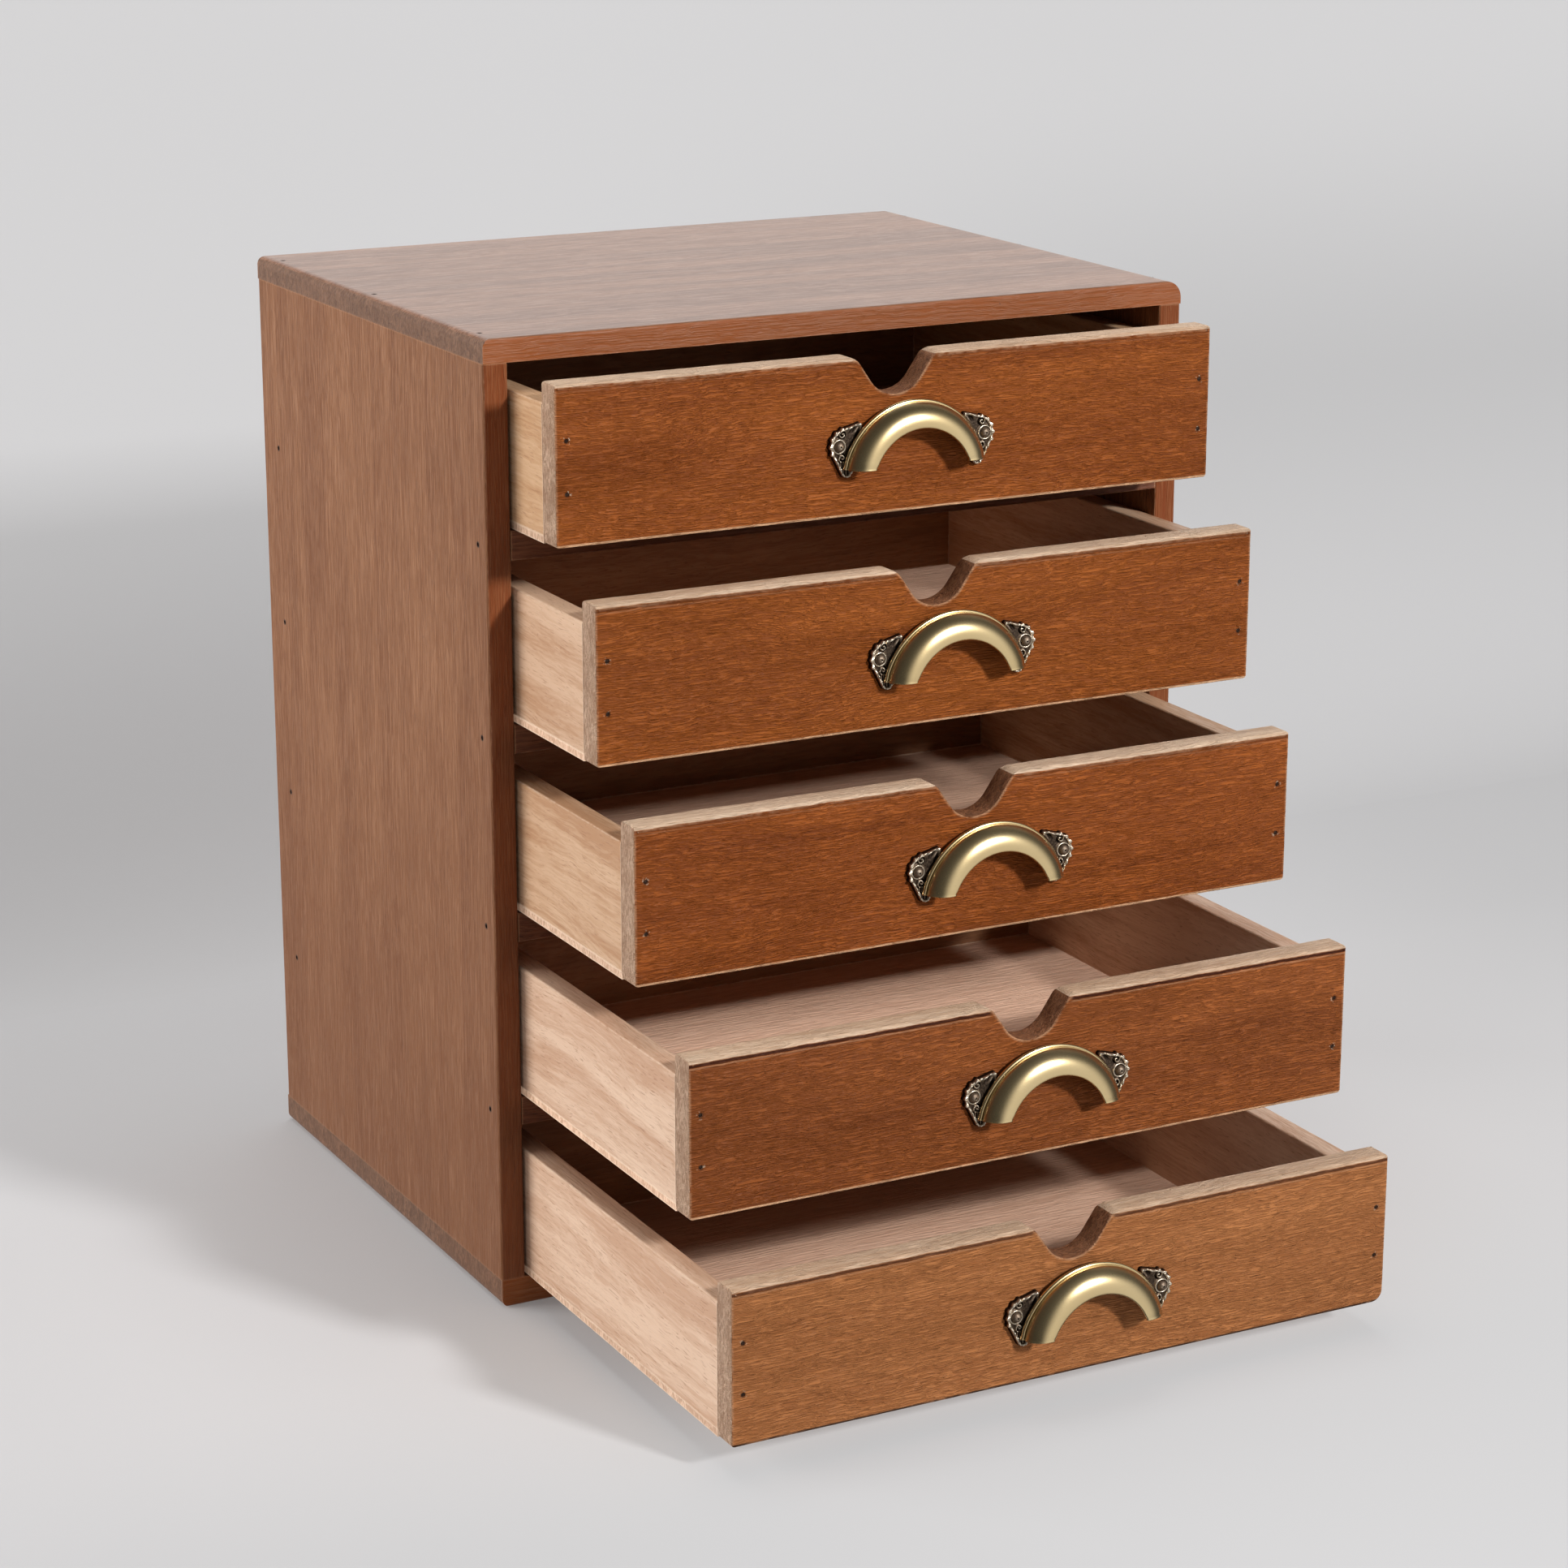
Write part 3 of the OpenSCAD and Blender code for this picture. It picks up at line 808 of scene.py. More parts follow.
# Dark stain round the pins; the lowest drawer front also takes this colour as a painted contact shadow along
# its bottom arris.
PIN_STAIN_AND_PAINTED_SHADOW = srgb(40, 20, 11)
SIDE_TIMBER = Timber(srgb(161, 111, 75), srgb(121, 74, 44), srgb(84, 49, 29), 0.65, 0.45, 0.00014, 0.45, 2.0,
                     0.025, 0.35)
TOP_TIMBER = Timber(srgb(156, 110, 82), srgb(114, 75, 52), srgb(80, 50, 33), 0.7, 0.7, 0.0001, 0.8, 1.6,
                    0.03, 0.6)
RAIL_TIMBER = Timber(srgb(132, 82, 56), srgb(92, 52, 34), srgb(58, 31, 19), 0.5, 0.4)
# The drawer backs' raw wood is darker than their walls: painted shade inside the drawers.
RAW_BACK_PAINTED_SHADE = Timber(srgb(158, 112, 78), srgb(126, 84, 56), srgb(100, 64, 42), 0.4, 0.8, 0.00006, 1.0, 0.9)
SHEET_TIMBER = Timber(srgb(214, 178, 154), srgb(190, 152, 128), srgb(150, 112, 90), 0.5, 0.4, 0.00012,
                      0.6, 1.0)
BARE_TIMBER = Timber(srgb(228, 200, 172), srgb(198, 162, 132), srgb(166, 126, 96), 0.5, 0.7, 0.00008,
                     0.8, 1.1)
RAW_PORE = srgb(158, 108, 78)
# Pale arris colours, rubbed wood and partly a painted highlight along the edges; FOOT_LINE is the upper
# fronts' pale bottom arris, likewise partly a painted highlight.
RUBBED_AND_HIGHLIT = srgb(186, 138, 102)
RUBBED_RAW_AND_HIGHLIT = srgb(236, 212, 186)
FOOT_LINE = srgb(224, 178, 138)
EDGE_STAIN = srgb(124, 56, 15)
TOP_EDGE_STAIN = srgb(150, 78, 27)
END_STAINED = (srgb(134, 97, 73), srgb(92, 62, 43))
END_BARE = (srgb(234, 200, 172), srgb(180, 142, 115))
NOTCH_CUT = (srgb(150, 98, 66), srgb(98, 56, 34))
BRASS = (srgb(244, 220, 170), srgb(218, 186, 126), srgb(86, 66, 40))
CASTING = (srgb(40, 30, 23), srgb(118, 100, 84), srgb(212, 198, 178))
STEEL = (srgb(56, 40, 30), srgb(36, 20, 12))


@dataclass(frozen=True)
class DrawerTone:
    """The colours of one drawer.

    Attributes:
        front: Light and dark fibres of the stained front.
        walls: Light and dark fibres of the raw walls.
        shade: How much darker the front's left end is, 0 to 1.
        line: How dark the line under the front's bare top edge is, 0 to 1.
        chips: How much the front is chipped round its pins, 0 to 1.
    """

    front: tuple[Colour, Colour]
    walls: tuple[Colour, Colour]
    shade: float
    line: float
    chips: float


DRAWER_TONES = tuple(
    DrawerTone((srgb(*front), srgb(*front_dark)), (srgb(*wall), srgb(*wall_dark)), shade, line, chips)
    for front, front_dark, wall, wall_dark, shade, line, chips in (
        ((170, 94, 38), (122, 60, 20), (212, 174, 137), (186, 140, 100), 0.1, 0.25, 1.0),
        ((170, 94, 37), (121, 60, 19), (218, 182, 152), (190, 147, 114), 0.1, 0.5, 0.6),
        ((168, 91, 36), (116, 56, 18), (215, 178, 145), (187, 143, 108), 0.15, 0.4, 0.6),
        ((163, 92, 43), (111, 56, 21), (230, 197, 170), (202, 161, 132), 0.4, 1.0, 0.7),
        ((186, 121, 71), (143, 86, 45), (232, 199, 172), (204, 163, 134), 0.1, 0.8, 0.4)))


# ---- Mesh helpers ---------------------------------------------------------------------


def as_object(name: str, mesh: bmesh.types.BMesh, turned: bool = True) -> bpy.types.Object:
    """Turns a bmesh into an object, which nothing shows yet.

    Args:
        name: The object's name.
        mesh: Its shape.
        turned: Whether its faces are turned outwards first.

    Returns:
        The object.
    """
    if turned:
        bmesh.ops.recalc_face_normals(mesh, faces=mesh.faces)
    data = bpy.data.meshes.new(name)
    mesh.to_mesh(data)
    mesh.free()
    return bpy.data.objects.new(name, data)


def piece(name: str, mesh: bmesh.types.BMesh, material: bpy.types.Material,
          turned: bool = True) -> bpy.types.Object:
    """Turns a bmesh that is drawn in place into a piece of the scene.

    Args:
        name: The piece's name.
        mesh: Its shape.
        material: Its finish.
        turned: Whether its faces are turned outwards first.

    Returns:
        The object, at the origin.
    """
    made = as_object(name, mesh, turned)
    made.data.materials.append(material)
    bpy.context.scene.collection.objects.link(made)
    return made


def dress(node: str, material: bpy.types.Material) -> None:
    """Gives a CAD node its finish.

    Args:
        node: The node.
        material: Its finish.
    """
    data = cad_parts[node].data
    data.materials.clear()
    data.materials.append(material)
    LOG.info("%s dressed in %s", node, material.name)


def settle(made: bpy.types.Object, body: str, node: str) -> None:
    """Rides a piece on its body, in place of a CAD node.

    Args:
        made: The piece.
        body: The CAD body that carries it.
        node: The CAD node that it stands for.
    """
    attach(made, body)
    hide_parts(node)
    LOG.info("%s: %d faces on %s", made.name, len(made.data.polygons), body)


def skin(mesh: bmesh.types.BMesh, rows: Sequence[Ring], smooth: bool = True, closed: bool = True) -> None:
    """Joins each row of points to the next one with faces.

    Args:
        mesh: The mesh.
        rows: Rows of equal length.
        smooth: Whether the faces are shaded smooth.
        closed: Whether the rows close on themselves.
    """
    for first, second in zip(rows, rows[1:]):
        for i in range(len(first) if closed else len(first) - 1):
            j = (i + 1) % len(first)
            mesh.faces.new((first[i], first[j], second[j], second[i])).smooth = smooth


def fan(mesh: bmesh.types.BMesh, hub: bmesh.types.BMVert, ring: Ring) -> None:
    """Joins a ring to the point at its middle."""
    for here, there in zip(ring, ring[1:] + ring[:1]):
        mesh.faces.new((hub, here, there)).smooth = True


def cap(mesh: bmesh.types.BMesh, *rings: Ring) -> None:
    """Fills a flat face inside its first ring, round the others.

    Args:
        mesh: The mesh.
        *rings: The rim, then the holes in it.
    """
    sides = [side for ring in rings for side in zip(ring, ring[1:] + ring[:1])]
    edges = [mesh.edges.get(side) or mesh.edges.new(side) for side in sides]
    bmesh.ops.triangle_fill(mesh, use_beauty=True, edges=edges)


def polar(centre: Point, radius: float, degrees: float) -> Point:
    """Returns the point at a distance and an angle from a centre."""
    turn = math.radians(degrees)
    return centre[0] + radius * math.cos(turn), centre[1] + radius * math.sin(turn)


def arc(centre: Point, radius: float, start: float, end: float, steps: int) -> list[Point]:
    """Returns points on an arc, both ends included, angles in degrees."""
    return [polar(centre, radius, start + (end - start) * i / steps) for i in range(steps + 1)]


def circle(radius: float, sides: int) -> list[Point]:
    """Returns the points of a closed circle round zero."""
    return arc((0, 0), radius, 0, 360, sides)[:-1]


def smoothstep(value: float, low: float, high: float) -> float:
    """Returns 0 below low, 1 above high, and a smooth value between."""
    share = min(max((value - low) / (high - low), 0.0), 1.0)
    return share * share * (3 - 2 * share)


def bell(value: float, middle: float, width: float) -> float:
    """Returns 1 at the middle, falling smoothly to both sides."""
    return math.exp(-((value - middle) / width) ** 2)


# ---- Drawer fronts --------------------------------------------------------------------


@dataclass(frozen=True)
class FrontSize:
    """Sizes of a drawer front, in metres."""

    notch_w: float = 34.8 * MM
    notch_depth: float = 13 * MM
    floor_r: float = 11 * MM
    shoulder_r: float = 5 * MM
    corner_r: float = 1.2 * MM
    worn_corner_r: float = 4 * MM
    top_ease: float = 1.6 * MM
    ease: float = 0.5 * MM
    rim: float = 0.45 * MM
    pin_x: float = 117.5 * MM
    pin_low: float = 17 * MM
    pin_high: float = 34 * MM
    pin_r: float = 0.65 * MM
    pin_hole: float = 0.62 * MM
    pin_rise: float = 0.18 * MM
    step: float = 1.6 * MM


class DrawerFront:
    """One drawer front: a board with rounded corners, a finger notch and eased, rubbed arrises whose pale
    colour is partly a painted highlight.
    """

    HOLE_SIDES = 14
    EASE_STEPS = 4
    BACK_EASE = 0.8
    SHORTEST = 1e-7
    UNEVEN = ((90, 9.1, 0.28), (420, 5.3, 0.14))

    def __init__(self, number: int, size: FrontSize) -> None:
        """Finds the front's place in the frame.

        Args:
            number: The drawer's number, from the top.
            size: The front's sizes.
        """
        self.number = number
        self.size = size
        self.node = f"drawer_{number}_front"
        self.low, self.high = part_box(self.node)
        self.height = self.high.z - self.low.z
        self.half = (self.high.x - self.low.x) / 2

    def outline(self) -> list[Point]:
        """Draws the outline in (X, Z) from the lower left corner, anticlockwise.

        Returns:
            Points no further apart than the step.
        """
        s = self.size
        right, top = self.half - s.corner_r, self.height - s.corner_r
        low_r = s.worn_corner_r if self.number == DRAWERS else s.corner_r
        shoulder = Vector((s.notch_w / 2, self.height - s.shoulder_r))
        floor = Vector((0, self.height - s.notch_depth + s.floor_r))
        reach = shoulder - floor
        lean = math.asin((s.floor_r + s.shoulder_r) / reach.length)
        wall = math.degrees(math.atan2(reach.y, reach.x) + lean)
        points = [point for turned in (
            ((-right, s.corner_r), s.corner_r, 180, 270, 5),
            ((self.half - low_r, low_r), low_r, 270, 360, 6),
            ((right, top), s.corner_r, 0, 90, 5),
            ((shoulder.x, shoulder.y), s.shoulder_r, 90, 90 + wall, 8),
            ((floor.x, floor.y), s.floor_r, wall - 90, -wall - 90, 24),
            ((-shoulder.x, shoulder.y), s.shoulder_r, 90 - wall, 90, 8),
            ((-right, top), s.corner_r, 90, 180, 5),
        ) for point in arc(*turned)]
        spaced = []
        for here, there in zip(points, points[1:] + points[:1]):
            gap = math.dist(here, there)
            parts = max(1, math.ceil(gap / s.step))
            if gap > self.SHORTEST:
                spaced += [tuple(a + (b - a) * i / parts for a, b in zip(here, there)) for i in range(parts)]
        return spaced

    def easing(self, x: float, z: float, out: Vector) -> float:
        """Returns how far the arris is rounded at a point of the outline.

        Args:
            x: The point's place across.
            z: Its height over the bottom edge.
            out: The outline's outward normal there.

        Returns:
            The radius in metres, larger along the top and uneven all round.
        """
        s = self.size
        top = smoothstep(out.y, 0.7, 0.98) * smoothstep(z, self.height - 3 * MM, self.height - 1 * MM)
        uneven = sum(share * noise.noise(Vector((x * fine, z * fine, self.number * apart)))
                     for fine, apart, share in self.UNEVEN)
        return (s.ease + (s.top_ease - s.ease) * top) * (1 + uneven)

    def build(self, material: bpy.types.Material) -> bpy.types.Object:
        """Builds the front in place.

        Args:
            material: Its finish.

        Returns:
            The piece.
        """
        s = self.size
        points = self.outline()
        outward = []
        for ahead, behind in zip(points[1:] + points[:1], points[-1:] + points[:-1]):
            along = (Vector(ahead) - Vector(behind)).normalized()
            outward.append(Vector((along.y, -along.x)))
        ease = [self.easing(*point, out) for point, out in zip(points, outward)]
        mesh = bmesh.new()
        worn_and_highlit = mesh.verts.layers.float.new("arris")

        def row(turn: float, level: float, back: bool = False, margin: float = 0.0) -> Ring:
            """Draws the outline at one turn of the eased arris.

            Args:
                turn: Degrees, from 0 on the flat face to 90 on the edge.
                level: How pale the arris is there, 0 to 1: rubbed wood and partly a painted highlight.
                back: Whether it is the arris at the back.
                margin: How much further in the outline lies, in metres.

            Returns:
                The ring.
            """
            made = []
            for (x, z), out, radius in zip(points, outward, ease):
                radius *= self.BACK_EASE if back else 1.0
                deep, inset = (radius * (1 - part) for part in polar((0, 0), 1, turn))
                inset += margin
                y = self.high.y - deep if back else self.low.y + deep
                made.append(mesh.verts.new((x - out.x * inset, y, self.low.z + z - out.y * inset)))
                made[-1][worn_and_highlit] = level
            return made

        # The arris attribute makes the arrises pale: rubbed wood and partly a painted highlight.
        shares = [k / self.EASE_STEPS for k in range(self.EASE_STEPS + 1)]
        rows = [row(0, 0.0, margin=s.rim)]
        rows += [row(90 * t, math.sin(math.pi * (0.22 + 0.7 * t))) for t in shares]
        rows += [row(90 * t, 0.5 * math.sin(math.pi * min(t, 0.9)), back=True) for t in reversed(shares)]
        skin(mesh, rows)
        cap(mesh, rows[0], *(self.hole(mesh, side * s.pin_x, z)
                             for side in (-1, 1) for z in (s.pin_low, s.pin_high)))
        cap(mesh, rows[-1])
        return piece(self.node + "_board", mesh, material)

    def hole(self, mesh: bmesh.types.BMesh, x: float, z: float) -> Ring:
        """Sinks a pin hole into the face.

        Args:
            mesh: The front's mesh.
            x: The hole's place across.
            z: Its height over the bottom edge.

        Returns:
            The ring at the face.
        """
        s = self.size
        rings = [[mesh.verts.new((x + a, self.low.y + deep, self.low.z + z + b))
                  for a, b in circle(radius, self.HOLE_SIDES)]
                 for radius, deep in ((s.pin_r * 1.25, 0.0), (s.pin_r, 0.25 * s.pin_hole),
                                      (s.pin_r, s.pin_hole))]
        skin(mesh, rings)
        mesh.faces.new(rings[-1])
        return rings[0]


# ---- Pulls ----------------------------------------------------------------------------


@dataclass(frozen=True)
class PullSize:
    """Sizes of a pull, in metres."""

    arch_r: float = 26.7 * MM
    section_r: float = 7 * MM
    wall_h: float = 2.4 * MM
    metal: float = 1.3 * MM
    bead_r: float = 0.7 * MM
    sweep: float = 98.0
    leg_cut: float = 6 * MM
    ear_t: float = 1.4 * MM
    screw_x: float = 27.19 * MM
    screw_rise: float = 13.4 * MM
    head_r: float = 1.8 * MM
    head_h: float = 1.7 * MM


class Pull:
    """One pull: the hollow brass arch, its two cast ears and their screws.

    The ears are drawn in millimetres from their screw: away from the arch, upwards, and a radius.
    """

    ARCH_STEPS = 96
    FLANK_STEPS = 32
    NEAR_END = (0.0, 0.12, 0.4, 0.7, 1.0, 1.35, 1.7)
    RINGS = 36
    SPOKES = 216
    DISC = (-2.6, 0.0, 6.0)
    FOOT = (-2.69, -8.4, 2.2)
    LEAF = (-7.45, 6.6, 0.9)
    TIP_DISCS = 24
    SCALLOPS = 7
    SCALLOPS_AT = 5.5
    SCALLOP_R = 0.98
    SCROLLS = ((-1.18, 3.9, 1.4, 1), (-1.18, -3.9, 1.4, -1))

    def __init__(self, number: int, size: PullSize) -> None:
        """Finds the pull's place in the frame.

        Args:
            number: The drawer's number, from the top.
            size: The pull's sizes.
        """
        self.number = number
        self.size = size
        low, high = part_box(f"drawer_{number}_pull")
        self.x = (low.x + high.x) / 2
        self.z = high.z - size.arch_r - size.bead_r / 2
        self.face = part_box(f"drawer_{number}_front")[0].y

    def put(self, across: float, up: float, rise: float) -> Vector:
        """Returns the place of a point drawn flat on the front, with its height over the wood."""
        return Vector((self.x + across, self.face - rise, self.z + up))

    def section(self) -> list[tuple[float, float, float]]:
        """Draws the arch's closed section.

        Returns:
            (radius, height over the wood, patina) of each point, outside first. The last number also paints a
            dark reflection band on the outer flank.
        """
        s = self.size
        centre = (s.arch_r - s.section_r, s.wall_h)
        edge, bead = s.arch_r - 0.4 * MM, s.wall_h + 0.35 * MM
        points = [(edge - 0.15 * MM, 0.2 * MM, 1.0), (edge, 0.6 * MM, 0.95),
                  (edge, s.wall_h - 0.5 * MM, 0.95),
                  *((*place, 0.0) for place in arc((edge, bead), 0.74 * MM, -80, 112, 12)),
                  (edge - 0.42 * MM, bead + 0.8 * MM, 1.0)]
        for i in range(self.FLANK_STEPS + 1):
            turn = 10 + (s.sweep - 10) * i / self.FLANK_STEPS
            swell = 0.53 * smoothstep(turn, 8, 24) + 0.05 * bell(turn, s.sweep, 5.0)
            radius = s.section_r + (swell - 0.6) * MM
            # Dark in the groove by the bead; the band round 29 degrees on the outer flank is a painted dark
            # reflection.
            dark = 0.9 * (1 - smoothstep(turn, 9, 15)) + 0.5 * bell(turn, 29, 16.0)
            points.append((*polar(centre, radius, turn), dark))
        tip = polar(centre, s.section_r - s.metal / 2, s.sweep)
        points += [(*place, 0.0) for place in arc(tip, s.metal / 2, s.sweep, s.sweep + 180, 8)[1:-1]]
        points += [(*place, 0.8) for place in arc(centre, s.section_r - s.metal, s.sweep, 0, 16)]
        return [*points, (s.arch_r - s.metal, s.ear_t * 0.3, 0.9)]

    def arch(self, material: bpy.types.Material) -> bpy.types.Object:
        """Sweeps the section round the arch, with level cuts across the legs.

        Args:
            material: The brass.

        Returns:
            The piece.
        """
        s = self.size
        section = self.section()
        middle = Vector((s.arch_r - s.section_r * 0.55, s.wall_h + s.section_r * 0.55))
        mesh = bmesh.new()
        patina_and_painted_reflection = mesh.verts.layers.float.new("patina_and_painted_reflection")
        rows = []
        for step in (*self.NEAR_END, *range(2, self.ARCH_STEPS - 1),
                     *(self.ARCH_STEPS - end for end in reversed(self.NEAR_END))):
            edge = min(step, self.ARCH_STEPS - step)
            groove = smoothstep(edge, 0.5, 1.1) * (1 - smoothstep(edge, 1.4, 4.0))
            shrink = (0.16 * max(0.0, 1 - edge / 0.4) ** 2 + 0.17 * groove) * MM
            ring = []
            for radius, rise, dark in section:
                start = math.asin(s.leg_cut / radius)
                turn = start + (math.pi - 2 * start) * step / self.ARCH_STEPS
                inward = (middle - Vector((radius, rise))).normalized()
                radius += inward.x * shrink
                rise += inward.y * shrink * 0.5
                ring.append(mesh.verts.new(self.put(radius * math.cos(turn), radius * math.sin(turn), rise)))
                ring[-1][patina_and_painted_reflection] = dark
            rows.append(ring)
        skin(mesh, rows)
        cap(mesh, rows[0])
        cap(mesh, rows[-1])
        return piece(f"drawer_{self.number}_arch", mesh, material)

    def ear_discs(self) -> list[Disc]:
        """Draws the ear's outline as overlapping discs.

        Returns:
            (away from the arch, up, radius) of each disc: the body, its foot, its leaf and the scallops.
        """
        discs = [self.DISC]
        for tip in (self.FOOT, self.LEAF):
            discs += [tuple(a + (b - a) * k / self.TIP_DISCS for a, b in zip(self.DISC, tip))
                      for k in range(1, self.TIP_DISCS + 1)]
        scallops = arc(self.DISC[:2], self.SCALLOPS_AT, -75, 75, self.SCALLOPS - 1)
        return discs + [(*place, self.SCALLOP_R) for place in scallops]

    @staticmethod
    def ear_reach(discs: list[Disc], turn: float) -> float:
        """Returns how far the outline lies from the screw.

        Args:
            discs: The outline's discs.
            turn: Direction in radians, 0 pointing away from the arch.

        Returns:
            The reach in millimetres.
        """
        reach = 0.0
        for p, q, radius in discs:
            along = p * math.cos(turn) + q * math.sin(turn)
            room = along * along - p * p - q * q + radius * radius
            if room > 0:
                reach = max(reach, along + math.sqrt(room))
        return reach

    def ear_relief(self, discs: list[Disc], p: float, q: float) -> float:
        """Returns the height of the casting over the wood.

        Args:
            discs: The outline's discs.
            p: Millimetres from the screw, away from the arch.
            q: Millimetres from the screw, upwards.

        Returns:
            The height in millimetres.
        """
        inset = max(radius - math.hypot(p - a, q - b) for a, b, radius in discs)
        from_disc = Vector((p - self.DISC[0], q - self.DISC[1]))
        lobes = math.cos(math.atan2(from_disc.y, from_disc.x) * 360 / 25)
        rim = smoothstep(inset, 0.0, 0.35) * (1 - smoothstep(inset, 0.8, 1.15))
        height = 1.2 + 0.95 * rim * (0.85 + 0.15 * lobes) + 0.7 * bell(math.hypot(p, q), 2.2, 0.34)
        for across, up, radius, hand in self.SCROLLS:
            away = math.hypot(p - across, q - up)
            curl = math.cos(math.tau * away / 1.15 - hand * math.atan2(q - up, p - across))
            height += 0.7 * curl * (1 - smoothstep(away, radius * 0.8, radius * 1.25))
        for tip, width, ribs in ((self.FOOT, 1.5, 3), (self.LEAF, 1.1, 1)):
            axis = Vector((tip[0] - self.DISC[0], tip[1] - self.DISC[1]))
            reach = axis.length
            axis.normalize()
            share = smoothstep(from_disc.dot(axis), 0.45 * reach, 0.7 * reach)
            height += 0.4 * share * math.cos(math.pi * ribs * from_disc.cross(axis) / width) * smoothstep(
                inset, 0.1, 0.5)
        return min(2.2, max(0.5, height)) * smoothstep(inset, -0.1, 0.3)

    def ears(self, material: bpy.types.Material) -> bpy.types.Object:
        """Casts both ears as a relief on spokes from their screws.

        Args:
            material: The dark casting.

        Returns:
            The piece.
        """
        s = self.size
        mesh = bmesh.new()
        relief = mesh.verts.layers.float.new("relief")
        discs = self.ear_discs()
        turns = [math.tau * i / self.SPOKES for i in range(self.SPOKES)]
        spokes = [(math.cos(turn), math.sin(turn), self.ear_reach(discs, turn)) for turn in turns]

        def cast(side: int, p: float, q: float) -> bmesh.types.BMVert:
            """Sets one point of the casting.

            Args:
                side: 1 for the right ear, -1 for the left one.
                p: Millimetres from the screw, away from the arch.
                q: Millimetres from the screw, upwards.

            Returns:
                The point.
            """
            height = self.ear_relief(discs, p, q)
            vert = mesh.verts.new(self.put(side * (s.screw_x + p * MM), s.screw_rise + q * MM, height * MM))
            vert[relief] = smoothstep(height, 0.8, 2.1)
            return vert

        for side in (-1, 1):
            rows = []
            for k in range(1, self.RINGS + 1):
                share = 1 - (1 - k / self.RINGS) ** 1.25
                rows.append([cast(side, reach * share * p, reach * share * q) for p, q, reach in spokes])
            base = [mesh.verts.new((v.co.x, self.face, v.co.z)) for v in rows[-1]]
            fan(mesh, cast(side, 0.0, 0.0), rows[0])
            skin(mesh, rows)
            skin(mesh, (rows[-1], base), smooth=False)
            mesh.faces.new(base)
        return piece(f"drawer_{self.number}_ears", mesh, material)

    def screw_places(self) -> HeadPlaces:
        """Returns where the two screw heads sit and which way they look."""
        s = self.size
        return [(self.put(side * s.screw_x, s.screw_rise, s.ear_t), Vector((0, -1, 0))) for side in (-1, 1)]


# ---- Screw and pin heads --------------------------------------------------------------

SMALLEST_PIN = 0.85

def turned_head(name: str, radius: float, height: float, slot: float = 0.0) -> bpy.types.Object:
    """Turns a domed head that looks along +Z, as the shape that the heads' tree repeats.

    Args:
        name: The shape's name.
        radius: Its radius.
        height: Its height.
        slot: Width of a driver's slot, or 0 for none.

    Returns:
        The object, which isn't shown by itself.
    """
    sides, rings = 36, 9
    mesh = bmesh.new()
    relief = mesh.verts.layers.float.new("relief")
    rows = []
    for k in range(1, rings + 1):
        up, out = polar((0, 0), 1, 90 * k / rings)
        rows.append([mesh.verts.new((x, y, height * (0.15 + 0.85 * up)))
                     for x, y in circle(radius * out, sides)])
    rows.append([mesh.verts.new((v.co.x, v.co.y, -0.2 * height)) for v in rows[-1]])
    fan(mesh, mesh.verts.new((0, 0, height)), rows[0])
    skin(mesh, rows)
    mesh.faces.new(rows[-1])
    for vert in mesh.verts:
        vert[relief] = 0.25 + 0.4 * max(vert.co.z, 0) / height
    if slot:
        for x in (-slot / 2, slot / 2):
            bmesh.ops.bisect_plane(mesh, geom=mesh.verts[:] + mesh.edges[:] + mesh.faces[:],
                                   plane_co=(x, 0, 0), plane_no=(1, 0, 0))
        inside = [f for f in mesh.faces if abs(f.calc_center_median().x) < slot / 2 and f.normal.z > -0.5
                  and f.calc_center_median().z > 0.2 * height]
        floor = bmesh.ops.extrude_face_region(mesh, geom=inside)["geom"]
        bmesh.ops.delete(mesh, geom=inside, context="FACES_ONLY")
        for vert in (g for g in floor if isinstance(g, bmesh.types.BMVert)):
            vert.co.z = min(vert.co.z, 0.5 * height)
            vert[relief] = 0.0
        for face in mesh.faces:
            face.smooth = face.normal.length > 0 and abs(face.normal.x) < 0.999
    return as_object(name, mesh)


